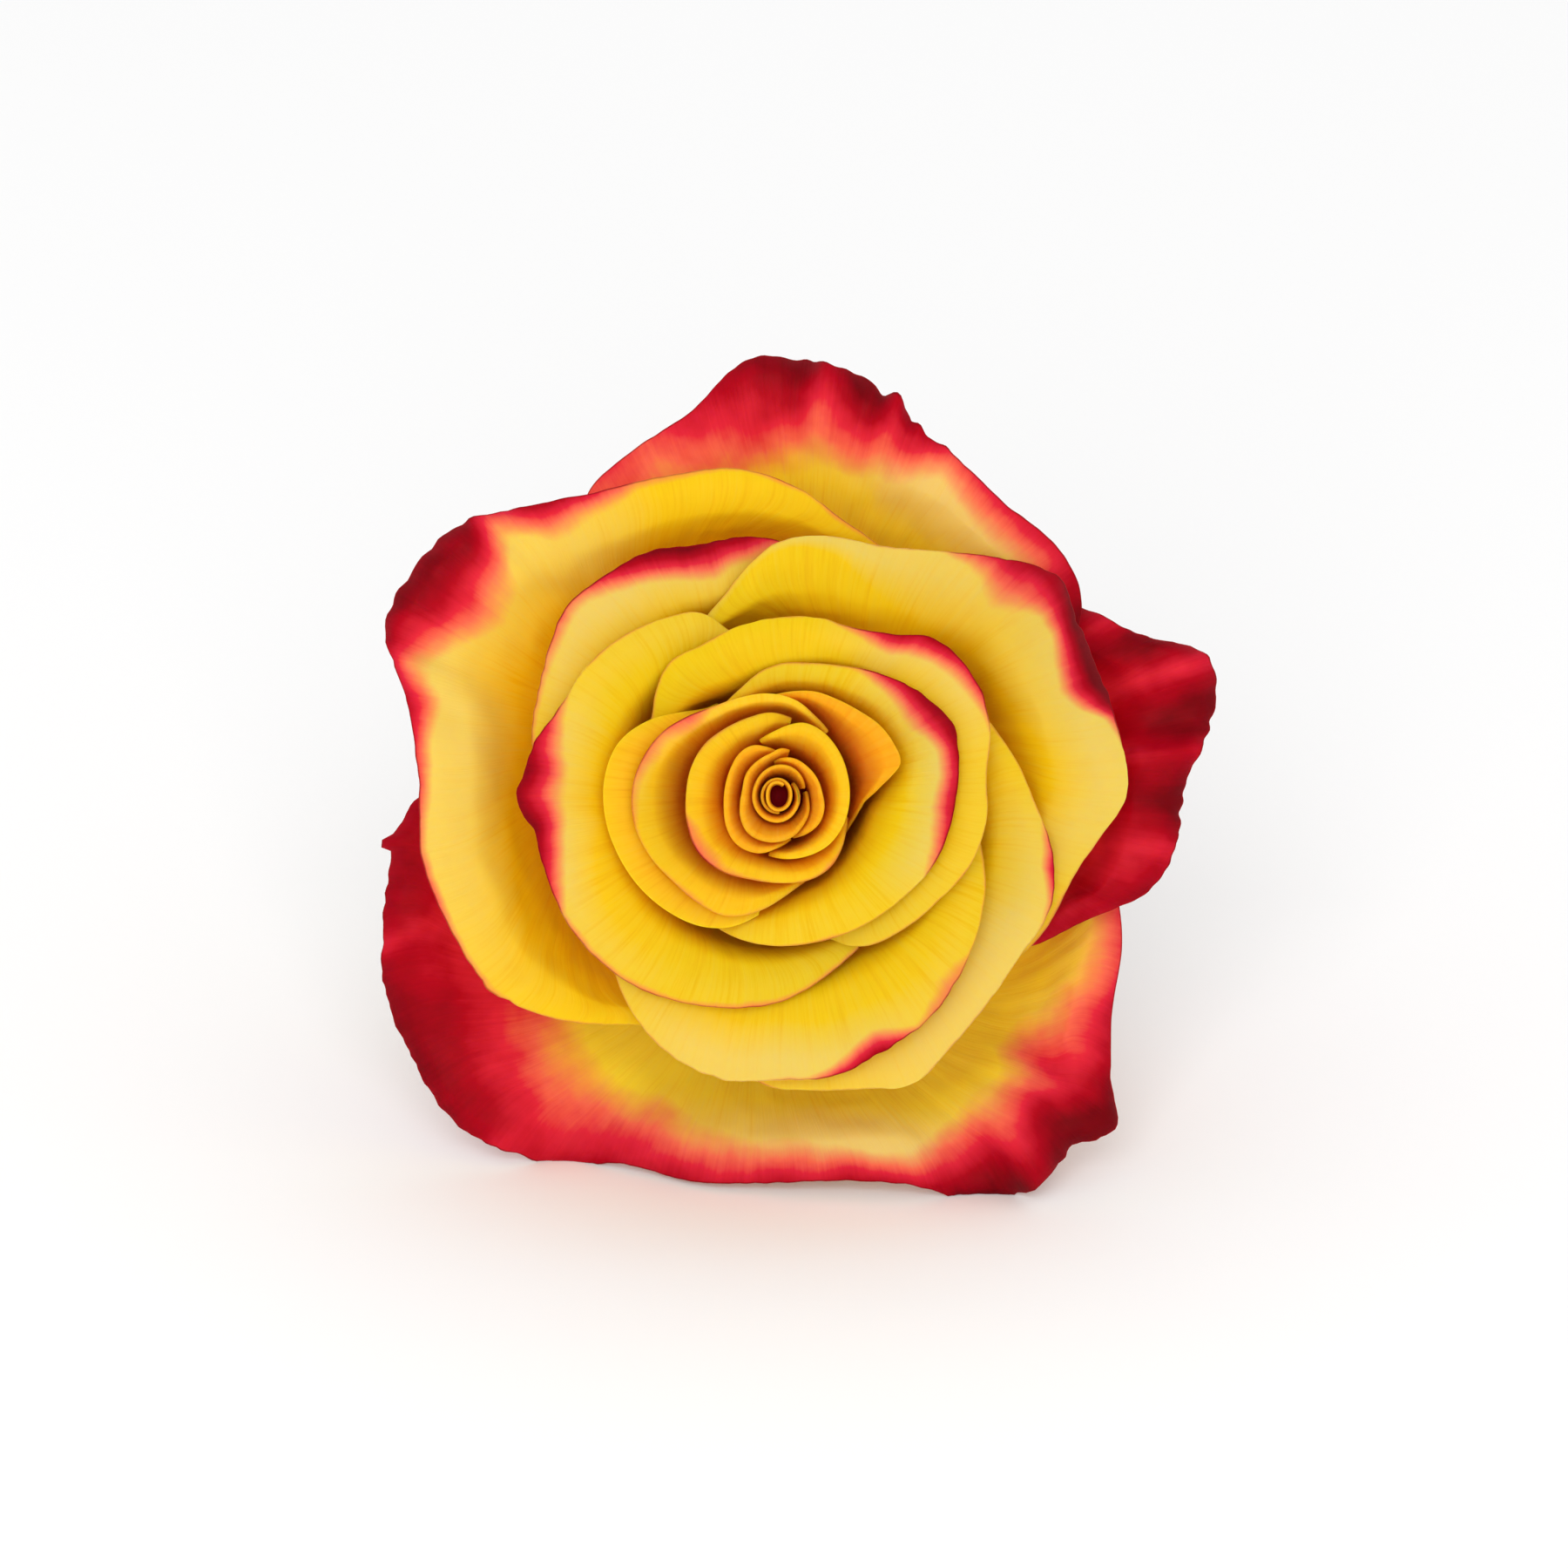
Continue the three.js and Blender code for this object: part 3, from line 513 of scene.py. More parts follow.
guards = {
    "guard_petal_bottom": {
        "claw": claw(0), "swell": (21, 0.8), "wall": (33, 8.5), "lipShare": 0.5, "lipDrop": -0.6,
        "rim": [[170, 34, 19], [181, 42, 19], [185.8, 44.4, 18.4], [186.9, 46.4, 18.2], [188, 45.2, 18],
                [197, 47.6, 16.5], [206, 50.7, 14.5],
                [216, 52.3, 13], [226, 53.4, 11.5], [232, 51.8, 10.5], [239, 50, 9.4], [247, 46.4, 12.5],
                [257, 45.8, 16], [268, 44.9, 18.4], [278, 45, 19.5], [288, 47.2, 20.2],
                [296.5, 52.3, 18.3], [304, 54.2, 20.5], [310, 53.1, 21], [315.5, 54.7, 19],
                [320, 50.2, 19], [328, 45.8, 19], [338, 42.9, 18.8], [346, 40, 18], [354, 36.5, 16.5]],
        "blush": [[170, 26, 15], [190, 26, 14], [214, 27, 13], [225, 20, 10], [232, 15, 9], [240, 12, 8],
                  [247, 8, 6],
                  [257, 5.5, 4], [268, 4, 3], [278, 3.5, 2.5], [285, 3, 2], [290, 4, 2.5], [295, 9, 4],
                  [300, 12, 5], [310, 14, 5.5], [315, 13.5, 5], [320, 9, 5], [328, 5.2, 4], [338, 3.4, 3.2],
                  [346, 3, 3]],
        "pale": [[245, 10, 0], [258, 12, 0.4], [275, 12, 0.8], [300, 16, 0.9], [320, 16, 0.5], [330, 8, 0]],
        "folds": [[305, 2.4, 1.1, 16, 0], [300.5, 2.2, -0.7, 12, 0], [311, 3, -0.6, 12, 0],
                  [200.5, 2, 0.8, 14, 0], [214, 4, -0.5, 12, 0], [231, 2.5, 0.6, 8, 0]],
        "ruffle": {"pitch": 6, "reach": 12,
                   "height": [[175, 0.3], [205, 0.7], [235, 0.6], [250, 0.2], [288, 0.2], [300, 0.8],
                              [316, 0.8], [325, 0.2]]},
        "jag": [[180, 0.3], [195, 0.5], [235, 0.5], [250, 0.1], [290, 0.2], [297, 0.9], [315, 0.6],
                [322, 0]],
        "curl": [[180, 1.2], [224, 1.2], [236, 0.7], [250, 0.8], [290, 0.8], [300, 1.6], [318, 1.2],
                 [340, 0.6]],
        "dent": (0.7, 9), "pleats": 0.16, "columns": 300, "rows": 70,
    },
    "guard_petal_right": {
        "claw": claw(0), "swell": (20.3, 2.2), "wall": (31.5, 12.5), "lipShare": 0.5, "lipDrop": -0.2,
        "rim": [[-42, 28, 23], [-30, 34.6, 24], [-22, 38.2, 24.5], [-15, 44, 24.5], [-6, 46.4, 24],
                [2, 47.2, 24], [8, 50, 23], [14, 52.2, 22], [19, 51.4, 22], [23, 46.4, 23.5],
                [31, 41.5, 25], [40, 37, 23.4]],
        "blush": [[-42, 27, 20], [-22, 29, 20], [-8, 36, 19], [12, 40, 19], [24, 36, 19], [40, 30, 18]],
        "folds": [[17.5, 2, 1.3, 20, 0], [23, 2.4, -1, 16, 0], [11, 2.6, -1, 18, 0], [6, 2, 1, 16, 0],
                  [-1, 2.4, -0.8, 15, 0], [-8, 2.2, 0.7, 13, 0], [-16, 2.4, -0.5, 12, 0],
                  [28, 2, 0.8, 11, 0], [34, 2, -0.5, 9, 0]],
        "ruffle": {"pitch": 5, "reach": 12, "height": [[-20, 0.1], [-5, 0.5], [20, 0.6], [35, 0.4]]},
        "jag": [[-20, 0.1], [-5, 0.5], [20, 0.4], [35, 0.2]],
        "curl": [[-20, 0.8], [10, 1.6], [35, 1.2]],
        "dent": (0.7, 9), "pleats": 0.2, "columns": 200, "rows": 70,
    },
    "guard_petal_top": {
        "claw": claw(0), "swell": (19.5, 3.4), "wall": (30, 16.3), "lipShare": 0.5, "lipDrop": 0.3,
        "rim": [[22, 34, 28], [32, 41.2, 29], [41, 43, 29.5], [52, 42.6, 29], [63, 44.2, 28.5],
                [70, 45.6, 28], [72.5, 47.6, 27.5], [76, 48.2, 27.2], [80, 49.6, 26.5], [88, 50.4, 25.5],
                [94, 50.3, 25], [103, 45.3, 27], [113, 43.1, 28.5], [122, 41.2, 28.6], [131, 36, 27]],
        "blush": [[22, 12, 5], [32, 8.5, 4.2], [41, 5.5, 4.2], [52, 3.2, 2.8], [63, 2.6, 2.2],
                  [70, 6, 3.2], [76, 9.5, 4], [84, 11, 5], [92, 13, 5], [100, 10, 7], [110, 7.5, 8],
                  [122, 6, 9], [131, 4, 9]],
        "pale": [[30, 12, 0.2], [48, 12, 0.8], [75, 14, 0.9], [90, 14, 0.4], [105, 12, 0]],
        "folds": [[83, 2, 0.9, 14, 0.1], [87.5, 2, -0.6, 11, 0], [77.5, 2, -0.8, 10, 0],
                  [73, 1.4, 0.7, 7, 0], [93, 2, 0.4, 8, 0]],
        "ruffle": {"pitch": 5, "reach": 11,
                   "height": [[60, 0], [70, 0.7], [80, 0.8], [94, 0.6], [104, 0.1]]},
        "jag": [[60, 0.1], [68, 0.8], [80, 0.7], [92, 0.4], [100, 0.1]],
        "curl": [[30, 0.7], [60, 0.7], [75, 1.8], [92, 1.6], [104, 0.6]],
        "dent": (0.7, 9), "pleats": 0.16, "columns": 220, "rows": 70,
    },
}

outerPetals = {
    "outer_petal_left": {
        "claw": claw(1), "swell": (17.2, 4), "wall": (27, 23), "lipShare": 0.55, "lipDrop": 1.2,
        "rim": [[60, 29.3, 30], [68, 31, 33.6], [77, 32.6, 36.4], [86, 35.3, 37.5], [97, 37.8, 38],
                [109, 38.8, 38], [121, 40.6, 37.5], [131, 43.9, 36.5], [138, 47.6, 35.5],
                [150, 49.3, 34.5], [158, 48.8, 35], [165, 44.3, 36.5], [177, 41.3, 37.5],
                [190, 41.5, 37.5], [203, 40.6, 37.5], [214, 39.8, 37.5], [226, 35.9, 37.5],
                [237, 31.4, 36.6], [246, 29.6, 34.4], [254, 28, 30.5]],
        "blush": [[100, 0.2, 1], [115, 0.8, 1.5], [125, 3, 2], [131, 4.5, 2.5], [136, 4, 2.5],
                  [141, 9, 3.4], [148, 10.5, 3.6], [152, 9.5, 3.8], [157, 6.5, 3.2], [162, 4, 2.5],
                  [166, 3, 2],
                  [172, 1.6, 1.5], [180, 1, 1.2], [195, 0.7, 1], [215, 0.4, 1], [225, 0, 1]],
        "pale": [[112, 8, 0], [128, 16, 0.7], [150, 19, 1], [170, 16, 1], [195, 12, 0.7],
                 [215, 8, 0.2], [225, 8, 0]],
        "folds": [[135.5, 2.6, 1, 16, 0], [141.5, 2.4, -0.7, 10, 0], [147, 2, 0.5, 8, 0],
                  [152, 2, -0.5, 8, 0], [160.5, 2, 0.7, 11, 0], [165.5, 2, -0.4, 9, 0],
                  [218, 3, 0.4, 9, 0]],
        "ruffle": {"pitch": 5.5, "reach": 10, "height": [[120, 0.1], [138, 0.6], [158, 0.7], [168, 0.2],
                                                         [210, 0.15], [225, 0.3]]},
        "jag": [[125, 0.1], [138, 0.4], [158, 0.5], [168, 0.2], [205, 0.1], [214, 0.5], [222, 0.1]],
        "curl": [[80, 0.6], [120, 0.8], [140, 2.2], [157, 2.2], [168, 0.9], [240, 0.6]],
        "dent": (0.6, 9), "pleats": 0.14, "columns": 260, "rows": 70,
    },
    "outer_petal_right": {
        "claw": claw(1), "swell": (16.4, 5), "lipShare": 0.75, "lipDrop": 0.5,
        "wall": [[-48, 25.6, 25], [28, 25.4, 26], [44, 22.4, 28], [58, 19.8, 30], [75, 19.2, 31.5],
                 [103, 19.6, 32.5], [120, 19.2, 33]],
        "rim": [[-48, 30, 31], [-38, 32.4, 34.6], [-28, 34.2, 36.5], [-15, 35.3, 37], [-7, 37.5, 37.5],
                [0, 40, 37.5], [11, 39.8, 37.5], [22, 39.4, 37.5], [31, 39.8, 36.5], [38, 40.8, 35.5],
                [47, 37.2, 37.2], [57, 33.4, 39.2], [68, 30.9, 41], [80, 30.2, 42.3], [90, 29, 43.2],
                [97, 26.6, 43.7], [104, 24, 43.4], [112, 22, 43.2], [120, 20.6, 42.8]],
        "blush": [[8, 0, 1], [13, 1, 1], [16, 3.4, 1.4], [20, 4.6, 1.6], [25, 4, 1.5], [30, 3, 1.2],
                  [34, 3.4, 1.6], [38, 6, 2.5], [42, 5.5, 3], [46, 3, 2.5], [50, 1.2, 1.5], [56, 0, 1]],
        "pale": [[-20, 9, 0.2], [-8, 9, 0.7], [8, 9, 1], [20, 12, 0.9], [40, 14, 0.8], [60, 7, 0.8],
                 [75, 2.4, 0.9], [85, 1.2, 0.8], [95, 1, 0.3]],
        "folds": [[38, 2.6, 0.8, 12, 0], [44, 2.2, -0.4, 9, 0], [27, 3, -0.3, 9, 0], [3, 4, 0.4, 9, 0]],
        "ruffle": {"pitch": 5, "reach": 9,
                   "height": [[-30, 0.1], [10, 0.15], [25, 0.4], [45, 0.4], [55, 0.1]]},
        "jag": [[5, 0.1], [20, 0.4], [38, 0.5], [50, 0.1]],
        "curl": [[-30, 0.6], [10, 0.8], [17, 3], [34, 3.4], [42, 1.4], [60, 0.7]],
        "curlReach": 3,
        "dent": (0.6, 9), "pleats": 0.14, "columns": 220, "rows": 70,
    },
}

middlePetals = {
    "middle_petal_left": {
        "claw": claw(2), "swell": (13.6, 6.3), "wall": (21.2, 31), "lipShare": 0.85, "lipDrop": 0.6,
        "rim": [[80, 25.5, 36], [88, 28.8, 38.8], [97, 29.9, 41.4], [107, 30.1, 42.5],
                [118, 31.6, 42.5], [128, 32, 42.5], [138, 32.4, 42.5], [149, 30.9, 42.5],
                [158, 29.8, 42], [167, 29, 41], [176, 27, 38.6], [185, 25, 35]],
        "blush": [[86, 0.3, 1], [92, 1.4, 1.2], [97, 2.6, 1.5], [105, 3.6, 1.6], [112, 3.8, 1.6],
                  [120, 3.2, 1.6], [127, 2.2, 1.4], [133, 1.4, 1.6], [145, 1, 1.6], [155, 0.5, 1.2],
                  [165, 0.2, 1]],
        "pale": [[90, 7, 0.4], [108, 8, 0.9], [135, 8, 1], [150, 6, 0.7], [165, 5, 0.2]],
        "folds": [[127, 3, 0.3, 7, 0], [98, 3, -0.25, 6, 0], [116, 2.5, -0.2, 6, 0]],
        "jag": [[90, 0.1], [110, 0.3], [140, 0.2]],
    },
    "middle_petal_right": {
        "claw": claw(2), "swell": (14.3, 5.6), "wall": (22.4, 28.5), "lipShare": 0.85, "lipDrop": 0.8,
        "rim": [[-112, 25.6, 32.5], [-103, 29.6, 36], [-93, 33.2, 38], [-84, 34, 39], [-74, 35, 39.5],
                [-65, 36.5, 39.5], [-56, 35.1, 39.5], [-45, 33.9, 39.5], [-34, 33.3, 39.5],
                [-22, 33.8, 39.5], [-12, 32.2, 40], [-2, 29.6, 40.5], [8, 27.7, 41], [17, 26, 41],
                [26, 24.8, 39.2], [36, 22.8, 35]],
        "blush": [[-27, 0, 1], [-21, 0.5, 1], [-15, 1.5, 1], [-9, 0.8, 1], [-5, 0, 1]],
        "pale": [[-100, 6, 0.2], [-80, 6, 0.3], [-60, 9, 0.9], [-30, 9, 1], [-10, 7, 0.6], [5, 5, 0.1]],
        "folds": [[-66, 4, 0.3, 7, 0], [-24, 4, 0.3, 7, 0]],
        "jag": [[-80, 0.1], [-20, 0.2], [0, 0.1]],
        "columns": 180,
    },
}

cupPetals = {
    "cup_petal_bottom": {
        "claw": claw(3), "swell": (12.4, 7.1), "wall": (19.5, 31), "lipShare": 0.88, "lipDrop": 0.8,
        "rim": [[216, 24.6, 36.5], [226, 27.2, 40.4], [236, 29.9, 43], [247, 32.1, 43.5],
                [259, 33.1, 43.5], [270, 32.6, 43.5], [281, 32.8, 43.5], [292, 31.7, 43.5],
                [303, 31, 43.8], [314, 29.5, 44], [325, 27.8, 44], [336, 26, 43.8], [346, 24, 42.2],
                [355, 22.6, 38]],
        "blush": [[276, 0, 1], [281, 0.8, 1], [287, 1.9, 1.2], [292, 2.4, 1.4], [297, 1.4, 1.2],
                  [301, 0.4, 1], [305, 0.8, 1.8], [310, 1.2, 2.4], [316, 0.8, 2], [320, 0, 1]],
        "pale": [[236, 6, 0.3], [250, 7, 0.8], [272, 7, 1], [290, 6, 0.7], [305, 5, 0.3], [330, 5, 0.1]],
        "jag": [[236, 0.1], [290, 0.3], [320, 0.1]],
        "columns": 170,
    },
    "cup_petal_left": {
        "claw": claw(3), "swell": (11.5, 7.8), "wall": (17.3, 33.5), "lipShare": 0.88, "lipDrop": 0.8,
        "rim": [[98, 17.9, 42], [106, 19.6, 44.4], [113, 22.7, 45.2], [122, 24, 45.3], [134, 25.4, 45.7],
                [146, 26.4, 46], [158, 26.9, 46], [168, 28.5, 46], [175, 29.2, 45.8], [180, 30, 45.6],
                [184, 29.2, 45.8], [189, 28.1, 46], [200, 28.1, 46], [211, 28.2, 46], [222, 27.9, 46],
                [234, 27.2, 46], [246, 26, 46], [258, 24.9, 45.8], [270, 23.7, 45.3],
                [281, 22, 44.4], [290, 20.7, 43.4], [298, 19.8, 42.4]],
        "blush": [[154, 0, 1], [160, 0.8, 1.2], [166, 2.2, 1.6], [172, 4, 2], [180, 5.2, 2.2],
                  [186, 4, 1.8], [191, 2.8, 1.5], [197, 2.4, 1.5], [203, 1.6, 1.4], [209, 0.4, 1]],
        "pale": [[150, 5, 0.2], [165, 7, 0.8], [180, 9, 0.9], [200, 6, 0.9], [215, 5, 0.4], [240, 5, 0.1]],
        "folds": [[180, 3, 0.5, 8, 0], [174, 2, -0.25, 6, 0], [187, 2.4, -0.25, 6, 0]],
        "jag": [[150, 0.05], [170, 0.3], [200, 0.25], [220, 0.1]],
        "columns": 190,
    },
    "cup_petal_right": {
        "claw": claw(3), "swell": (10.7, 8.5), "lipShare": 0.9, "lipDrop": 0.8,
        "wall": [[-72, 15.2, 34.5], [-20, 15.6, 35], [54, 15.9, 35], [66, 15.2, 35], [80, 13.9, 35],
                 [98, 12.9, 35], [115, 12.7, 35], [132, 13.5, 35], [148, 14.4, 35], [166, 15.9, 35]],
        "rim": [[-72, 16.9, 43], [-60, 19.9, 45.3], [-47, 21, 46.3], [-33, 22, 47], [-20, 23.4, 47.3],
                [-7, 24, 47.3], [6, 24, 47.3], [17, 25.4, 47], [27, 26.1, 46.8], [37, 26, 46.8],
                [46, 25.1, 47], [54, 22.7, 47.3], [65, 21.1, 47.7], [78, 20.8, 47.8], [91, 20.3, 47.8],
                [104, 19.8, 47.8], [117, 19.3, 47.6], [129, 19.6, 47], [139, 18.4, 46.2],
                [148, 17, 45.2], [157, 16.6, 44], [166, 16.6, 42.5]],
        "blush": [[16, 0, 1], [21, 0.6, 1], [27, 1.4, 1.1], [34, 1.7, 1.2], [40, 2.1, 1.2],
                  [46, 2.8, 1.4], [51, 2.8, 1.4], [56, 2, 1.2], [62, 0.9, 1], [69, 0.3, 1], [75, 0, 1]],
        "pale": [[10, 4, 0.2], [30, 6, 0.9], [50, 7, 0.9], [64, 4, 0.3], [80, 4, 0]],
        "folds": [[49, 3, 0.25, 6, 0]],
        "jag": [[15, 0.05], [40, 0.25], [60, 0.1]],
        "columns": 200,
    },
}

wideFoot = {"clawHalf": 55, "spread": 4}  # of the petals that stand close round the heart

innerPetals = {
    "inner_petal_right": {
        **wideFoot, "claw": claw(4), "swell": (8.8, 10), "lipShare": 0.74, "lipDrop": 1,
        "wall": [[-116, 13.6, 41], [-105, 13.2, 41.5], [-98, 12.6, 42], [-80, 11.3, 43],
                 [-60, 10.8, 43.5], [-40, 10.2, 44], [-24, 10, 44], [-10, 10.3, 44], [0, 11.2, 43.5],
                 [14, 12.9, 42.5], [30, 13.1, 42], [60, 12.6, 42], [76, 12, 42], [98, 11.3, 42],
                 [132, 11.4, 41]],
        "rim": [[-116, 16.6, 45.5], [-105, 17, 48.2], [-92, 17.2, 49.4], [-78, 17.3, 49.6],
                [-64, 17.6, 49.6], [-50, 18, 49.6], [-37, 18.6, 49.6], [-24, 19.5, 49.6],
                [-11, 20, 49.6], [2, 20.5, 49.4], [13, 21.2, 49.2], [23, 21.6, 49], [33, 20.4, 49.2],
                [43, 19.1, 49.4], [54, 17.7, 49.4], [65, 16.4, 49.2], [76, 15.6, 49], [88, 15.1, 48.8],
                [98, 14.3, 48.5], [107, 13.2, 48], [116, 12.4, 47], [124, 12, 45.6], [132, 12, 43.8]],
        "blush": [[-30, 0, 1], [-22, 1, 1.4], [-14, 1.8, 1.5], [-4, 2.2, 1.4], [8, 2, 1.2],
                  [16, 2.3, 1.2], [21, 3.2, 1.4], [26, 3.8, 1.6], [32, 3.2, 1.6], [40, 2.2, 1.4],
                  [48, 1.4, 1.2], [55, 0.5, 1], [60, 0, 1]],
        "pale": [[-45, 5, 0.1], [-25, 6, 0.7], [0, 6, 0.9], [25, 7, 1], [48, 5, 0.5], [60, 4, 0.1]],
        "folds": [[25, 4, 0.25, 5, 0]],
        "jag": [[-25, 0.05], [10, 0.2], [40, 0.2], [60, 0.05]],
        "curl": [[0, 0.5]],
    },
    "inner_petal_left": {
        **wideFoot, "claw": claw(4), "swell": (8.2, 10.7), "lipShare": 0.9, "lipDrop": 1,
        "wall": [[124, 12.2, 37], [140, 12.7, 37], [155, 13.7, 37], [170, 14.9, 37], [220, 14.3, 38],
                 [240, 12.4, 41], [261, 11.3, 42]],
        "rim": [[124, 12.7, 42.5], [132, 13.2, 44.6], [141, 14.9, 46.9], [151, 17.3, 48.2],
                [162, 19.2, 49], [174, 19.9, 49.4],
                [187, 19.9, 49.4], [200, 19.5, 49.4], [213, 19, 49.4], [226, 18.3, 49.4],
                [239, 17.4, 49.6], [250, 16, 49.8], [261, 13.8, 49.4]],
        "curl": [[0, 0.5]],
        "columns": 120, "material": heartPetal,
    },
}

heartPetals = {
    "heart_petal_left": {
        **wideFoot, "claw": claw(5), "swell": (6.1, 12.6), "lipShare": 0.5, "lipDrop": 0.6,
        "wall": [[52, 8.3, 40], [66, 8.8, 41], [80, 9.5, 42], [100, 9.6, 43], [125, 9.8, 43.5],
                 [150, 10.2, 43.5], [170, 10.6, 43.5], [190, 10.8, 43.5], [215, 10.7, 43.5],
                 [235, 10, 43.5], [255, 9.6, 43.5], [271, 9.5, 43], [298, 9.2, 42]],
        "rim": [[52, 9.4, 46.8], [66, 10.1, 49.4], [80, 11.1, 51], [96, 11.7, 51.2], [112, 12, 51.2],
                [127, 12.6, 51], [140, 13.8, 50.8], [151, 15, 50.6], [163, 15.9, 50.4],
                [176, 16.6, 50.4], [191, 16.7, 50.4], [205, 16.2, 50.4], [219, 15.5, 50.8],
                [232, 15.3, 51.3], [246, 15, 51.4], [259, 13.6, 50.8], [271, 11.9, 49.4],
                [281, 10.8, 47.8], [290, 10.2, 45.8], [298, 9.9, 43.6]],
        "blush": [[128, 0, 1], [138, 0.8, 1.6], [146, 1.4, 2], [156, 1, 2], [165, 1.2, 2.2],
                  [175, 0.3, 1.8], [183, 0, 1.4]],
        "pale": [[120, 2, 0.1], [150, 2.5, 0.5], [175, 2, 0.3], [190, 2, 0]],
        "curl": [[0, 0.35]], "curlReach": 1.4, "dent": (0.2, 8),
    },
    "heart_petal_right": {
        **wideFoot, "claw": claw(5), "swell": (6.7, 12), "lipShare": 0.42, "lipDrop": 0.8,
        "wall": [[-30, 8.5, 34], [-15, 8.7, 38], [-4, 9, 41], [10, 9.3, 44], [20, 9.4, 45.5],
                 [32, 9.4, 45], [45, 9.5, 43.5], [60, 10, 42], [80, 10.6, 41], [108, 10.5, 41]],
        "rim": [[-30, 8.8, 40], [-15, 9.3, 43.5], [-4, 10, 46.4], [4, 11.6, 48.6], [10, 13.2, 50],
                [15, 14.5, 50.6], [24, 14.5, 51], [35, 14.1, 51], [46, 13.4, 51], [58, 12.9, 50.8],
                [70, 12.6, 50.2], [80, 12.1, 49.4], [90, 11.6, 48.2], [99, 11.3, 46.6], [108, 11.1, 44.6]],
        "curl": [[0, 0.2]], "curlReach": 1, "dent": (0.2, 8), "columns": 100,
        "material": scrollPetal,
    },
    "heart_petal_outer": {
        **wideFoot, "claw": claw(6), "swell": (4.8, 13.6), "lipShare": 0.5, "lipDrop": 0.8,
        "wall": [[80, 7.2, 43], [110, 6.4, 44.5], [160, 6, 44.5], [200, 6.1, 44.5], [235, 6.5, 44.5],
                 [255, 6.9, 44.5], [271, 7.3, 44.5], [290, 7.6, 44.5], [307, 7.8, 44], [322, 7.8, 43],
                 [342, 7.6, 42]],
        "rim": [[80, 9, 48.4], [95, 9.5, 50.2], [110, 9.5, 51], [127, 9.7, 51.3], [145, 10.2, 51.3],
                [163, 10.4, 51.2], [181, 10.5, 51], [199, 10.9, 51], [216, 11.2, 51], [233, 10.8, 51],
                [252, 10.1, 51], [271, 10, 50.8], [290, 10.3, 50.2], [305, 10.2, 49.3], [318, 9.6, 48],
                [330, 8.9, 46.4], [342, 8.4, 44.4]],
        "blush": [[190, 0, 1], [200, 0.8, 1.6], [225, 1, 1.8], [240, 0.4, 1.6], [250, 0, 1]],
        "curl": [[0, 0.3]], "curlReach": 1.2, "dent": (0.15, 7),
    },
    "heart_petal_middle": {
        **wideFoot, "claw": claw(7), "swell": (3.5, 15), "lipShare": 0.5, "lipDrop": 0.8,
        "wall": [[-98, 6.1, 44], [-60, 6, 44.5], [-20, 5.6, 45], [70, 5.5, 45], [90, 5.9, 45],
                 [108, 5.9, 44.5]],
        "rim": [[-98, 7, 47.3], [-84, 7.3, 50], [-64, 7.7, 51], [-44, 8.1, 51], [-24, 8.2, 51],
                [-4, 8.2, 51], [16, 8.3, 51], [36, 8.6, 51], [56, 8.9, 51], [70, 8.8, 51],
                [80, 8.2, 50.9], [92, 7.4, 50.3], [108, 6.7, 48.6]],
        "curl": [[0, 0.3]], "curlReach": 1.2, "dent": (0.15, 7),
    },
}

bloomOrigin = findOrigin("inner_petal_left", innerPetals["inner_petal_left"])
print("bloom origin, mm:", [round(v, 3) for v in bloomOrigin])

seed = 0
for petals, material, slot in (
    (guards, guardPetal, "guard_petal"),
    (outerPetals, yellowPetal, "petal"),
    (middlePetals, yellowPetal, "petal"),
    (cupPetals, yellowPetal, "petal"),
    (innerPetals, yellowPetal, "petal"),
    (heartPetals, heartPetal, "heart_petal"),
):
    for name, petal in petals.items():
        seed += 1
        look = petal.get("material", material)
        made = meshObject("rose_" + name, [petalParts(petal, seed)], look)
        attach(made, "root")
        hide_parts(name)
print("petals made:", seed)

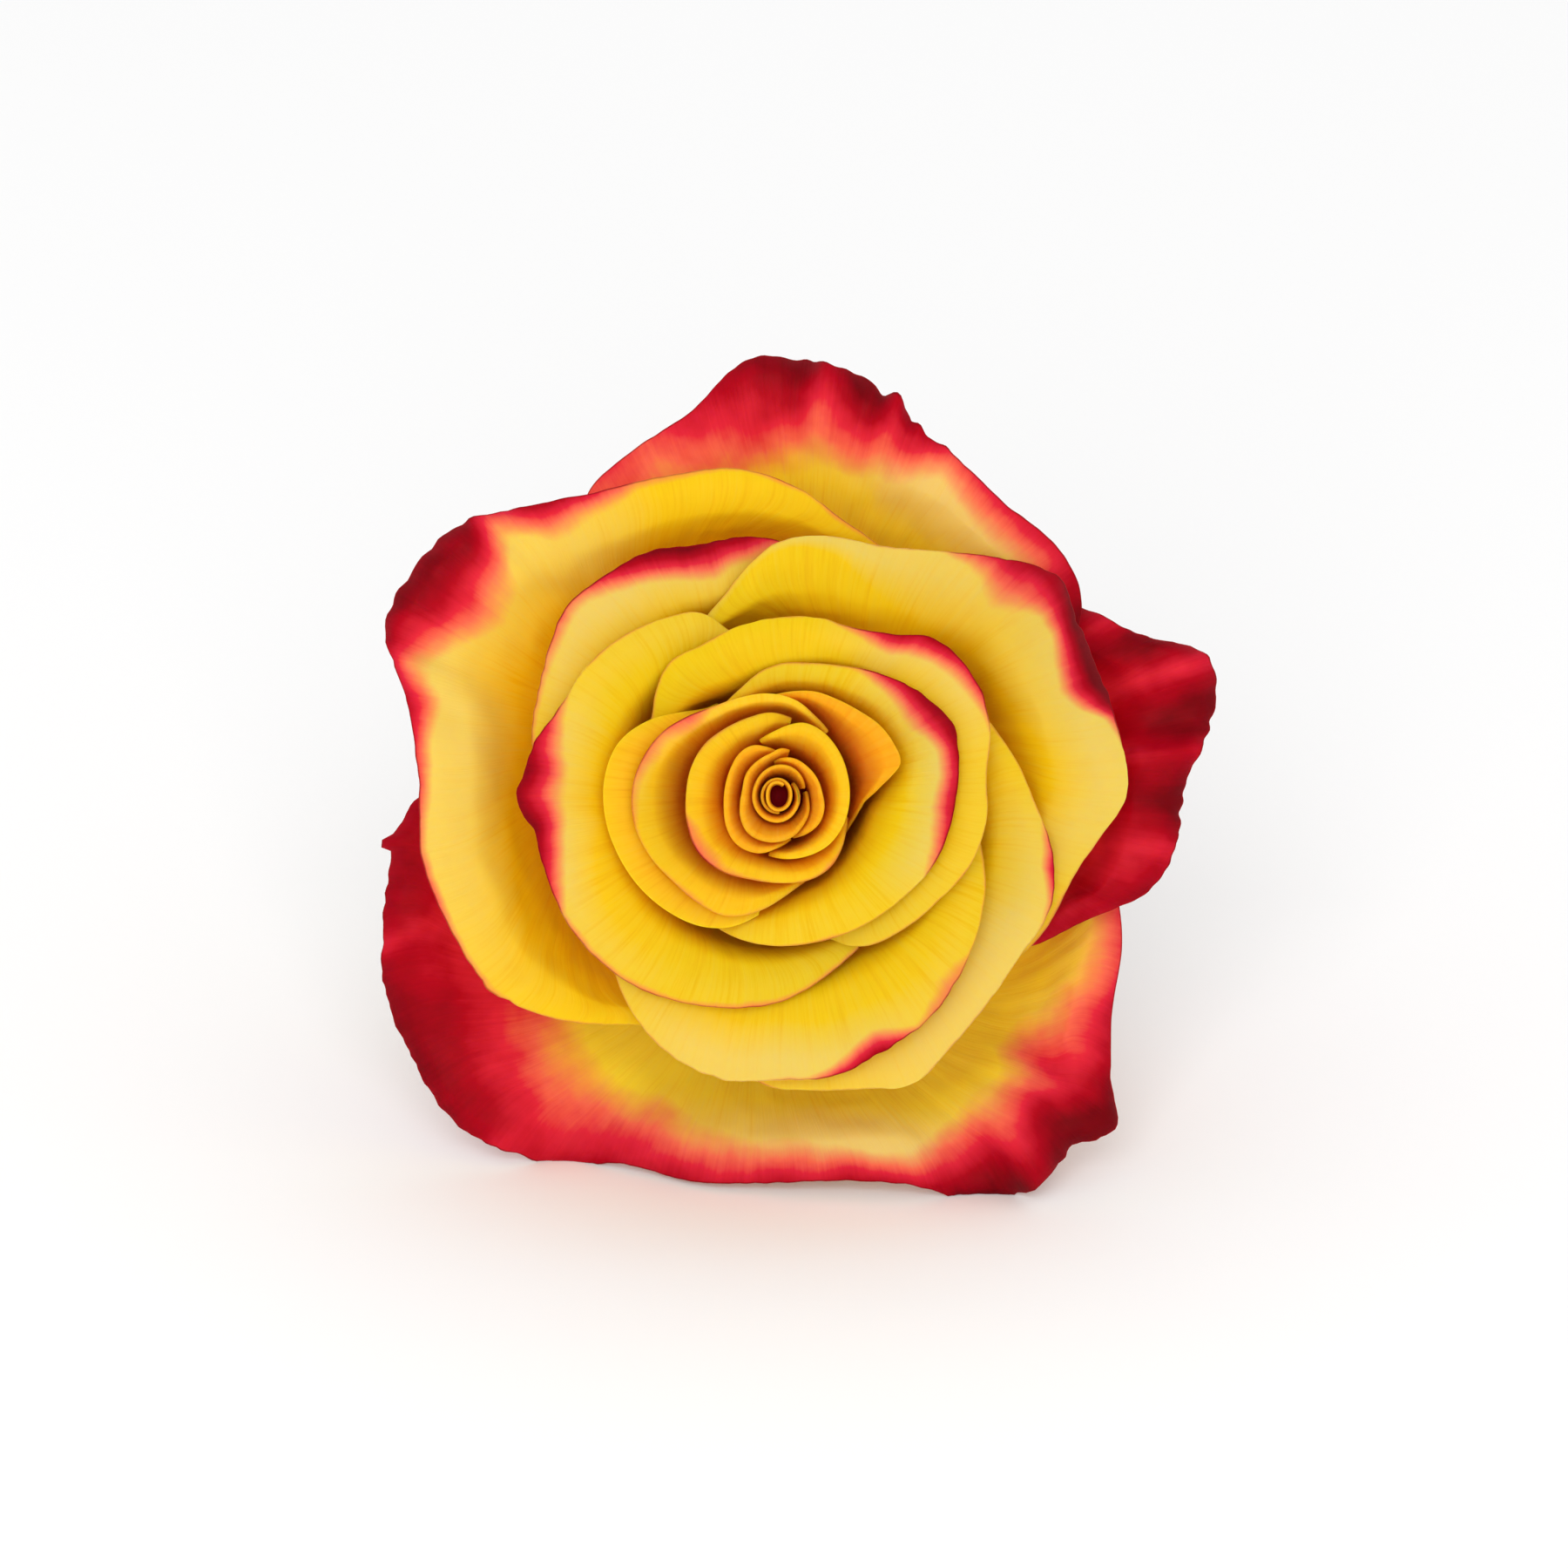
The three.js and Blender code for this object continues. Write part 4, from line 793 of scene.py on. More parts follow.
# Heart scroll: four petals rolled round each other, a spiral round the hole in their middle, and
# the core that they stand on
scroll = {
    "roll": {"lipShare": 0.35, "lipDrop": 0.7, "clawHalf": 360, "thickness": 0.4, "curl": [[0, 0.15]],
             "curlReach": 0.8, "dent": (0.12, 5), "columns": 120, "rows": 40},
    "firstSeed": 30,
    "rolled": [
        {"claw": (3.2, 31), "swell": (3.9, 36),
         "wall": [[92, 4.4, 45], [112, 4.5, 46], [132, 4.6, 46.5], [172, 4.5, 46.5], [212, 4.9, 46.5],
                  [230, 5.1, 46.5], [250, 5, 46], [286, 4.3, 44.5]],
         "rim": [[92, 5.1, 47.6], [104, 5.7, 49.6], [118, 6.4, 50.6], [132, 6.5, 50.6],
                 [152, 6.2, 50.6], [172, 6.1, 50.6], [192, 6.3, 50.6], [212, 6.9, 50.6],
                 [230, 7.3, 50.6], [250, 7, 50.2], [268, 6.1, 49.4], [286, 5.3, 47.5]]},
        {"claw": (2.9, 32), "swell": (3.5, 37),
         "wall": [[-70, 4.2, 45], [-30, 4, 46], [20, 3.6, 46], [66, 3.4, 45.5], [96, 3.2, 44.5]],
         "rim": [[-70, 5.2, 47.2], [-52, 5.5, 49.2], [-34, 5.7, 50.2], [-16, 5.5, 50.2], [2, 5.1, 50.2],
                 [22, 4.9, 50.2], [44, 4.7, 50], [66, 4.6, 49.6], [84, 4.3, 48.8], [96, 4, 47.2]]},
        {"claw": (2.7, 32), "swell": (3.1, 37),
         "wall": [[76, 4.4, 45], [99, 3.8, 45.5], [120, 3.2, 46], [170, 2.9, 46], [230, 3.2, 46],
                  [290, 3.2, 45.5], [330, 3.1, 44.5], [368, 3, 43.5]],
         "rim": [[76, 5.4, 48], [86, 5.4, 49.6], [99, 4.9, 50], [120, 4.6, 50], [145, 4.4, 50],
                 [170, 4.1, 50], [192, 4.4, 50], [212, 5, 50], [232, 5.5, 50], [252, 5.5, 50],
                 [272, 5.3, 49.9], [290, 5, 49.5], [310, 4.5, 48.9], [330, 4.1, 48.2],
                 [350, 3.6, 47.2], [368, 3.3, 45.8]]},
        {"claw": (1.9, 33), "swell": (2.1, 38), "lipShare": 0.4,
         "wall": [[15, 2.8, 45], [60, 2.7, 45.5], [150, 2.4, 45.5], [270, 2.3, 45.5], [345, 2.1, 45.5],
                  [400, 2, 45]],
         "rim": [[15, 3.2, 47], [40, 3.5, 48.8], [65, 3.6, 49.2], [90, 3.5, 49.2], [120, 3.2, 49.2],
                 [150, 2.9, 49.2], [180, 2.9, 49.2], [210, 3, 49.2], [240, 3.1, 49.2],
                 [270, 3.1, 49.2], [300, 2.9, 49.2], [330, 2.6, 49], [360, 2.4, 48.8],
                 [382, 2.3, 48.4], [400, 2.2, 47]]},
    ],
    "innermost": {"radius": 1.08, "growth": 0.46, "turns": 1.6, "start": 60, "floor": 38, "top": 48.9,
                  "dip": 0.9,  # how much lower the spiral's outer end is
                  "flare": 0.2,  # how far its rim bends out
                  "oval": 0.2, "ovalAt": 95, "thickness": 0.34, "columns": 190, "rows": 26},
    "core": [[0, 3.9], [1.1, 3.9], [1.5, 9], [2.6, 20], [3.5, 32], [3.7, 36], [3.4, 39.5], [0, 40]],
    "coreShadeRed": 1.5,  # painted shade: the core is coloured deep red for the dark bottom of the hole
}


# The innermost roll is a spiral sheet round an oval hole
def innermostRoll(look):
    turn = np.linspace(0, look["turns"] * 2 * math.pi, look["columns"])[:, None]
    s = np.sin(np.linspace(0, math.pi / 2, look["rows"]))[None, :]
    wound = turn / turn[-1]
    height = look["floor"] + (look["top"] - look["floor"] - look["dip"] * wound**2) * s
    azimuth = turn + math.radians(look["start"])
    oval = look["oval"] * (1 - wound) * np.cos(2 * (azimuth - math.radians(look["ovalAt"])))
    radius = (look["radius"] + look["growth"] * turn / (2 * math.pi)) * (1 + oval)
    radius = radius + look["flare"] * s**8
    points = np.stack([radius * np.cos(azimuth), radius * np.sin(azimuth), height], -1)
    lengths = gridLengths(points)
    half = roundedHalf(look["thickness"], *lengths.values())
    return sheetParts(points, half, {
        "fromRim": lengths["rim"],
        "blush": np.full(half.shape, -1.0),
        "pale": np.zeros(half.shape),
        "blade": np.stack([lengths["first"], lengths["rim"], np.zeros(half.shape)], -1),
    })


# A turned solid from a profile that starts and ends on the axis
def turnedParts(profile, sides=48):
    radii = np.array([p[0] for p in profile[1:-1]])
    heights = np.array([p[1] for p in profile[1:-1]])
    turn = np.arange(sides) * 2 * math.pi / sides
    rings = np.stack([np.outer(radii, np.cos(turn)), np.outer(radii, np.sin(turn)),
                      np.outer(heights, np.ones(sides))], -1).reshape(-1, 3)
    ends = np.array([[0, 0, profile[0][1]], [0, 0, profile[-1][1]]])
    faces = []
    for ring in range(len(radii) - 1):
        for k in range(sides):
            a = ring * sides + k
            b = ring * sides + (k + 1) % sides
            faces.append([a, b, b + sides, a + sides])
    low = len(rings)
    high = low + 1
    last = (len(radii) - 1) * sides
    for k in range(sides):
        after = (k + 1) % sides
        faces.append([low, after, k])
        faces.append([high, last + k, last + after])
    return {"vertices": np.concatenate([rings, ends]), "faces": faces}


scrollParts = [
    petalParts({**scroll["roll"], **rolled}, scroll["firstSeed"] + k)
    for k, rolled in enumerate(scroll["rolled"])
]
scrollParts.append(innermostRoll(scroll["innermost"]))
core = turnedParts(scroll["core"])
count = len(core["vertices"])
# Painted shade: the core takes the rolls' foot colour under a deep red, for the dark bottom of the hole
core["values"] = {
    "back": np.zeros(count),
    "fromRim": np.full(count, 30.0),
    "blush": np.full(count, scroll["coreShadeRed"]),
    "pale": np.zeros(count),
    "blade": core["vertices"],
}
scrollParts.append(core)
heartScroll = meshObject("rose_heart_scroll", scrollParts, scrollPetal)
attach(heartScroll, "root")
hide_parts("heart_scroll")
print("heart scroll made")


# A new node tree with named inputs for its sizes
def newTree(name, sizes):
    tree = bpy.data.node_groups.new(name, "GeometryNodeTree")
    tree.interface.new_socket("Geometry", in_out="INPUT", socket_type="NodeSocketGeometry")
    for key, value in sizes.items():
        kind = {int: "NodeSocketInt", float: "NodeSocketFloat"}.get(type(value), "NodeSocketVector")
        tree.interface.new_socket(key, in_out="INPUT", socket_type=kind)
    tree.interface.new_socket("Geometry", in_out="OUTPUT", socket_type="NodeSocketGeometry")
    return tree, addNode(tree, "NodeGroupInput").outputs


def joinedGeometry(tree, parts):
    join = addNode(tree, "GeometryNodeJoinGeometry")
    for part in parts:
        tree.links.new(part.outputs[0], join.inputs[0])
    return join


# Ends a tree: the instances of each piece are made real, and it gets its material
def finishTree(tree, pieces):
    finished = []
    for geometry, material in pieces:
        realised = addNode(tree, "GeometryNodeRealizeInstances", None, {"Geometry": geometry})
        finished.append(addNode(tree, "GeometryNodeSetMaterial", None, {
            "Geometry": realised, "Material": material,
        }))
    addNode(tree, "NodeGroupOutput", None, {0: joinedGeometry(tree, finished)})


# Runs a tree on a mesh and leaves a plain mesh object
def runTree(name, tree, mesh, sizes):
    made = newObject(name, mesh)
    modifier = made.modifiers.new("nodes", "NODES")
    modifier.node_group = tree
    for item in tree.interface.items_tree:
        if item.in_out == "INPUT" and item.name in sizes:
            modifier[item.identifier] = sizes[item.name]
    bpy.context.view_layer.update()
    graph = bpy.context.evaluated_depsgraph_get()
    plain = bpy.data.meshes.new_from_object(made.evaluated_get(graph), depsgraph=graph)
    made.modifiers.clear()
    made.data = plain
    plain.shade_smooth()
    return made


def inFrame(point):
    return Vector((tilt @ np.array(point, float) + bloomOrigin) / 1000)


# Coordinates in mm along the bloom's axis, which the stem follows too
def axisPlace(tree):
    origin = tuple(inFrame((0, 0, 0)))
    turned = addNode(tree, "ShaderNodeVectorRotate", {"rotation_type": "X_AXIS"}, {
        "Vector": addNode(tree, "ShaderNodeTexCoord").outputs["Object"],
        "Center": origin, "Angle": math.radians(bloom["faceTilt"] - 90),
    })
    moved = addNode(tree, "ShaderNodeVectorMath", {"operation": "SUBTRACT"}, {0: turned, 1: origin})
    return addNode(tree, "ShaderNodeVectorMath", {"operation": "SCALE"}, {0: moved, "Scale": 1000})


# Waxy green skin of the stem, hip and sepals: fine streaks along it, cloudy red where the sun tanned
# it, and pale pores. Sizes are in mm, across and along the piece.
greenFinish = {
    "cloudSize": 7.692,
    "redAt": (0.48, 0.72),  # where in the clouds red starts, and where it is full
    "poreSize": (1.333, 1.333, 2.424),  # drawn coarser than real pores so that they show
    "poreEdge": (0.16, 0.08),
    "poreShare": 0.5,
    "streakDepth": 0.12,
    "coat": 0.12, "coatRoughness": 0.35,
    "glow": 0.15, "glowReach": 1, "glowShares": (0.5, 0.8, 0.2),
}


def greenSkin(name, place, streakSize, dark, green, pale, red, redShare, roughness):
    material, tree = newMaterial(name)
    finish = greenFinish
    if place == "axis":
        along = axisPlace(tree)
    else:
        along = addNode(tree, "ShaderNodeAttribute", {"attribute_name": place}).outputs["Vector"]
    streakPlace, porePlace = (
        addNode(tree, "ShaderNodeVectorMath", {"operation": "DIVIDE"}, {0: along, 1: size})
        for size in (streakSize, finish["poreSize"])
    )
    streaks = addNode(tree, "ShaderNodeTexNoise", None, {
        "Vector": streakPlace, "Scale": 1, "Detail": 5, "Roughness": 0.6,
    })
    clouds = addNode(tree, "ShaderNodeTexNoise", None, {
        "Vector": along, "Scale": 1 / finish["cloudSize"], "Detail": 4,
    })
    pores = addNode(tree, "ShaderNodeTexVoronoi", None, {"Vector": porePlace, "Scale": 1})
    streaked = addNode(tree, "ShaderNodeValToRGB", None, {"Fac": streaks}, [
        (0.3, dark), (0.52, green), (0.72, pale),
    ])
    tanned = addNode(tree, "ShaderNodeMix", {"data_type": "RGBA"}, {
        0: addNode(tree, "ShaderNodeMapRange", None, {
            "Value": clouds, "From Min": finish["redAt"][0], "From Max": finish["redAt"][1],
            "To Max": redShare,
        }),
        6: streaked, 7: hexColour(red),
    })
    dotted = addNode(tree, "ShaderNodeMix", {"data_type": "RGBA"}, {
        0: addNode(tree, "ShaderNodeMapRange", None, {
            "Value": pores, "From Min": finish["poreEdge"][0], "From Max": finish["poreEdge"][1],
            "To Max": finish["poreShare"],
        }),
        6: tanned.outputs[2], 7: hexColour(pale),
    })
    skin = addNode(tree, "ShaderNodeBsdfPrincipled", None, {
        "Base Color": dotted.outputs[2],
        "Roughness": addNode(tree, "ShaderNodeMapRange", None, {
            "Value": clouds, "To Min": roughness - 0.1, "To Max": roughness + 0.12,
        }),
        "Coat Weight": finish["coat"], "Coat Roughness": finish["coatRoughness"],
        "Subsurface Weight": finish["glow"],
        "Subsurface Radius": finish["glowShares"],
        "Subsurface Scale": finish["glowReach"] / 1000,
        "Normal": addNode(tree, "ShaderNodeBump", None, {
            "Strength": 0.7, "Distance": finish["streakDepth"] / 1000, "Height": streaks,
        }),
    })
    addNode(tree, "ShaderNodeOutputMaterial", None, {"Surface": skin})
    return material


# Calyx: the hip with its sloping top
hip = {
    "side": [[3.9, -13.5], [4, -12.6], [5, -11.2], [7.2, -8], [9, -4.6], [9.6, -2], [9.3, -0.8]],
    "top": 3.6,
    "tip": (0.4, 0.2),  # radius of the last ring, and how far below the top it is
    "sideRings": 48, "topRings": 12, "sides": 96,
    "ribs": 5, "ribAt": 18,  # faint ribs, one under each sepal, and the first one's azimuth
    "ribHeight": 0.12, "ribRadius": 9,  # their height where the hip's radius is this
}
sideTable = [[k, *point] for k, point in enumerate(hip["side"])]
hipSide = smoothTable(sideTable, np.linspace(0, len(hip["side"]) - 1, hip["sideRings"]))
lastRing = [hip["tip"][0], hip["top"] - hip["tip"][1]]
hipSlope = np.linspace(hipSide[-1], lastRing, hip["topRings"])[1:]
hipParts = turnedParts([[0, -bloom["hipHeight"]], *hipSide, *hipSlope, [0, hip["top"]]], hip["sides"])
turn = np.degrees(np.arctan2(hipParts["vertices"][:, 1], hipParts["vertices"][:, 0]))
ribs = hip["ribHeight"] / hip["ribRadius"] * np.cos(np.radians(hip["ribs"] * (turn - hip["ribAt"])))
hipParts["vertices"][:, :2] *= 1 + ribs[:, None]
hipParts["values"] = {"blade": hipParts["vertices"]}
calyxSkin = greenSkin(
    "waxy green rose hip, tanned red in patches", "axis", (0.625, 0.625, 4.545),
    "#4C6B24", "#6C8A34", "#9DB362", "#7A3A2A", 0.45, 0.42,
)
calyx = meshObject("rose_calyx", [hipParts], calyxSkin)
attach(calyx, "root")
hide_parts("calyx")

# Sepals fall back along the stem. As on real roses two have lobes on both sides, one on one side
# and two have none.
sepals = {
    "azimuths": [18, 90, 162, 234, 306],
    "spine": [[8.4, -2.6, 4.4], [12.4, -3.5, 5], [16.6, -6, 4.7], [20.4, -9.8, 3.9],
              [23.4, -14.4, 2.9], [25.8, -19.2, 2], [28, -23.6, 1.1], [30.4, -27.4, 0.22]],
    "thickness": 0.55,
    "midrib": 0.7,  # how much thicker the middle is, as a share
    "keel": 0.7, "keelTip": 2,  # how far the middle stands proud, less where half-width is under 2 mm
    "unevenness": 0.45,
    "sway": 0.9, "swayBend": 4.2, "swayStep": 2.1,  # how far the blade wanders sideways, each its own way
    "columns": 41, "rows": 80,
    "lobedSides": [(-1, 1), (), (1,), (-1, 1), ()],
}
lobes = {
    "places": [(0.3, 6.2), (0.45, 5.4), (0.6, 4.4), (0.73, 3.2)],  # along the blade, length
    "root": 0.8,  # how far out on the blade they start, as a share of its half-width
    "slimness": 0.125,  # half-width for each mm of length
    "thickness": 0.385,
    "ahead": 0.35, "aside": 0.85, "droop": 0.22,  # where the tip goes, for each mm of length
    "edge": (0.92, -0.38),  # the direction across a lobe, in shares of ahead and aside
    "columns": 9, "rows": 26,
}


# Parts of a lobe on one side of a sepal, from its place and the directions there
def lobeParts(at, ahead, up, side, length):
    aside = np.cross(ahead, up) * -side
    t = np.linspace(0, 1, lobes["rows"])[None, :, None]
    lean = ahead * lobes["ahead"] * (t + t**2) + aside * lobes["aside"] * t - up * lobes["droop"] * t**2
    width = lobes["slimness"] * length * np.clip(1 - t, 0.04, 1) ** 0.8  # its tip is slightly blunt
    edge = ahead * lobes["edge"][0] + aside * lobes["edge"][1]
    across = width * np.linspace(-side, side, lobes["columns"])[:, None, None]
    grid = at + lean * length + edge * across
    lengths = gridLengths(grid)
    blade = np.stack([across[..., 0], np.zeros(grid.shape[:2]), lengths["foot"]], -1)
    return sheetParts(grid, roundedHalf(lobes["thickness"], *lengths.values()), {"blade": blade})


# A sepal's parts, and the points of its margins with the directions away from it
def sepalParts(azimuth, lobedSides, seed):
    table = [[k, *row] for k, row in enumerate(sepals["spine"])]
    along = np.linspace(0, 1, sepals["rows"])
    spine = smoothTable(table, along * (len(table) - 1))
    radius, height, halfWidth = spine.T[:, None, :]
    share = evenShares(sepals["columns"], 2 * halfWidth.max())[:, None]
    inner = 1 - np.abs(share)
    rise = np.gradient(spine[:, :2], axis=0)
    rise /= np.linalg.norm(rise, axis=1, keepdims=True)
    sway = sepals["sway"] * np.sin(sepals["swayBend"] * along + sepals["swayStep"] * seed) * along
    lift = sepals["keel"] * inner**1.4 * np.minimum(halfWidth / sepals["keelTip"], 1)
    # Bumps about two thirds of the half-width across, six along the blade
    place = np.stack(np.broadcast_arrays(share * 1.5, along[None, :] * 6, float(seed)), -1)
    lift = lift + sepals["unevenness"] * noiseAt(place, 1, seed)
    across = share * halfWidth
    out = np.stack([radius - rise[:, 1] * lift, across + sway, height + rise[:, 0] * lift], -1)
    grid = out @ np.array(Matrix.Rotation(math.radians(azimuth), 3, "Z")).T
    lengths = gridLengths(grid)
    half = roundedHalf(sepals["thickness"], *lengths.values()) * (1 + sepals["midrib"] * inner**4)
    blade = np.stack([across, np.zeros(across.shape), lengths["foot"]], -1)
    parts = [sheetParts(grid, half, {"blade": blade})]
    normals = gridNormals(grid)
    forward = np.gradient(grid, axis=1)
    forward /= np.linalg.norm(forward, axis=-1, keepdims=True)
    for side in lobedSides:
        column = int(np.argmin(np.abs(share - side * lobes["root"])))
        for place, length in lobes["places"]:
            row = int(place * (sepals["rows"] - 1))
            at, ahead, up = grid[column, row], forward[column, row], normals[column, row]
            parts.append(lobeParts(at, ahead, up, side, length))
    outward = np.concatenate([grid[0] - grid[1], grid[-1] - grid[-2]])
    return parts, np.concatenate([grid[0], grid[-1]]), outward


sepalSkin = greenSkin(
    "soft green rose sepal with parallel veins", "blade", (0.3846, 1, 6.25),
    "#44661F", "#6A8B38", "#A3B86C", "#8A4436", 0.35, 0.55,
)
blades = []
margins = []
outwards = []
for k, (azimuth, lobedSides) in enumerate(zip(sepals["azimuths"], sepals["lobedSides"])):
    parts, margin, outward = sepalParts(azimuth, lobedSides, k + 1)
    blades += parts
    margins.append(margin)
    outwards.append(outward)
sepalBlades = meshObject("rose_sepals", blades, sepalSkin)
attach(sepalBlades, "root")

# Stalked glands fringe the sepals: a red head on a short green stalk, in metres
glandSizes = {
    "Stalk": 0.00034, "Stalk radius": 0.0001, "Stalk tip": 0.00005, "Head": 0.00013,
    "Smallest": 0.55, "Largest": 1.25, "Seed": 7,
}
glandTone = 1.43  # mm over which glands turn from dark to light


# Fresh gland tissue: neighbours differ a little in tone, and a low roughness gives a sticky glint
def glandMaterial(name, dark, light, roughness):
    material, tree = newMaterial(name)
    tone = addNode(tree, "ShaderNodeTexNoise", None, {
        "Vector": addNode(tree, "ShaderNodeTexCoord").outputs["Object"], "Scale": 1000 / glandTone,
    })
    shaded = addNode(tree, "ShaderNodeValToRGB", None, {"Fac": tone}, [(0.3, dark), (0.7, light)])
    skin = addNode(tree, "ShaderNodeBsdfPrincipled", None, {
        "Base Color": shaded, "Roughness": roughness,
    })
    addNode(tree, "ShaderNodeOutputMaterial", None, {"Surface": skin})
    return material


def glandTree(sizes):
    tree, given = newTree("stalked glands along the margins", sizes)
    stalk = addNode(tree, "GeometryNodeMeshCone", None, {
        "Vertices": 5, "Radius Top": given["Stalk tip"], "Radius Bottom": given["Stalk radius"],
        "Depth": given["Stalk"],
    })
    head = addNode(tree, "GeometryNodeTransform", None, {
        "Geometry": addNode(tree, "GeometryNodeMeshIcoSphere", None, {
            "Radius": given["Head"], "Subdivisions": 1,
        }),
        "Translation": addNode(tree, "ShaderNodeCombineXYZ", None, {"Z": given["Stalk"]}),
    })
    outward = addNode(tree, "GeometryNodeInputNamedAttribute", {"data_type": "FLOAT_VECTOR"}, {
        "Name": "outward",
    })
    turned = addNode(tree, "FunctionNodeAlignRotationToVector", {"axis": "Z"}, {
        "Vector": outward,
    })
    size = addNode(tree, "FunctionNodeRandomValue", {"data_type": "FLOAT"}, {
        "Min": given["Smallest"], "Max": given["Largest"], "Seed": given["Seed"],
    })
    pieces = []
    for instance, looks in (
        (stalk, ("green gland stalk", "#6E8A3C", "#93A858", 0.5)),
        (head, ("sticky red gland head", "#5A1A14", "#8E2C20", 0.25)),
    ):
        placed = addNode(tree, "GeometryNodeInstanceOnPoints", None, {
            "Points": given["Geometry"], "Instance": instance,
            "Rotation": turned, "Scale": size.outputs["Value"],
        })
        pieces.append((placed, glandMaterial(*looks)))
    finishTree(tree, pieces)
    return tree


marginMesh = bpy.data.meshes.new("sepal margins")
marginMesh.from_pydata([inFrame(point) for point in np.concatenate(margins)], [], [])
setField(marginMesh, "outward", np.concatenate(outwards) @ tilt.T)
glands = runTree("rose_sepal_glands", glandTree(glandSizes), marginMesh, glandSizes)
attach(glands, "root")
print("calyx made")

# Stem: from under the hip to the surface along one curve, with prickles, cut at a slant
stem = {
    "radius": 3.2,
    "bow": 6,
    "seatGap": 0.3,
    "overrun": 4,  # how far the curve runs on past the cut
    "pulls": (0.33, 0.67),  # shares of the curve where its handles are
    "unevenness": 0.22, "bumpSize": 6.25,
    "prickles": [(0.34, 40), (0.56, 150), (0.8, 75)],  # share of the curve, azimuth
    "prickleLength": 5.2, "prickleRoot": 1.9, "prickleFlatness": 0.62, "prickleSink": 0.9,
    "prickleLean": 24,
    "prickleTaper": 0.45,  # the lower, the fuller its flanks
    "prickleHook": 1.1, "hookBend": 2.2,  # how far the tip hooks, and how late
}
faceTilt = math.radians(bloom["faceTilt"])
stemLength = (bloomOrigin[2] - stem["radius"] * math.cos(faceTilt)) / math.sin(faceTilt)
stemTop = -bloom["hipHeight"] - stem["seatGap"]
stemEnd = -stemLength - stem["overrun"]
startPull, endPull = (stemTop + (stemEnd - stemTop) * share for share in stem["pulls"])
stemSizes = {
    "Start": inFrame((0, 0, stemTop)),
    "Start pull": inFrame((0, 0, startPull)),
    "End pull": inFrame((stem["bow"], 0, endPull)),
    "End": inFrame((0, 0, stemEnd)),
    "Radius": stem["radius"] / 1000,
    "Unevenness": stem["unevenness"] / 1000,
    "Bumps a metre": 1000 / stem["bumpSize"],
    "Prickle length": (stem["prickleLength"] + stem["prickleSink"]) / 1000,
    "Prickle root": stem["prickleRoot"] / 1000,
    "Prickle hook": stem["prickleHook"] / 1000,
    "Steps": 170,
    "Sides": 44,
}


# A prickle: broad at its root, hollow-flanked, hooked towards the cut end
def prickleGeometry(tree, given):
    cone = addNode(tree, "GeometryNodeMeshCone", None, {
        "Vertices": 28, "Side Segments": 16, "Radius Top": 0.0, "Radius Bottom": given["Prickle root"],
        "Depth": given["Prickle length"],
    })
    at = addNode(tree, "ShaderNodeSeparateXYZ", None, {
        0: addNode(tree, "GeometryNodeInputPosition"),
    }).outputs
    climbed = addNode(tree, "ShaderNodeMath", {"operation": "DIVIDE"}, {
        0: at["Z"], 1: given["Prickle length"],
    })
    slim = addNode(tree, "ShaderNodeMath", {"operation": "POWER"}, {
        0: addNode(tree, "ShaderNodeMath", {"operation": "SUBTRACT", "use_clamp": True}, {
            0: 1.001, 1: climbed,  # just over 1, so that the tip keeps some width
        }),
        1: stem["prickleTaper"],
    })
    hook = addNode(tree, "ShaderNodeMath", {"operation": "MULTIPLY"}, {
        0: addNode(tree, "ShaderNodeMath", {"operation": "POWER"}, {0: climbed, 1: stem["hookBend"]}),
        1: given["Prickle hook"],
    })
    return addNode(tree, "GeometryNodeSetPosition", None, {
        "Geometry": cone,
        "Position": addNode(tree, "ShaderNodeCombineXYZ", None, {
            "X": addNode(tree, "ShaderNodeMath", {"operation": "MULTIPLY_ADD"}, {
                0: at["X"], 1: slim, 2: hook,
            }),
            "Y": addNode(tree, "ShaderNodeMath", {"operation": "MULTIPLY"}, {
                0: at["Y"], 1: slim,
            }),
            "Z": at["Z"],
        }),
    })


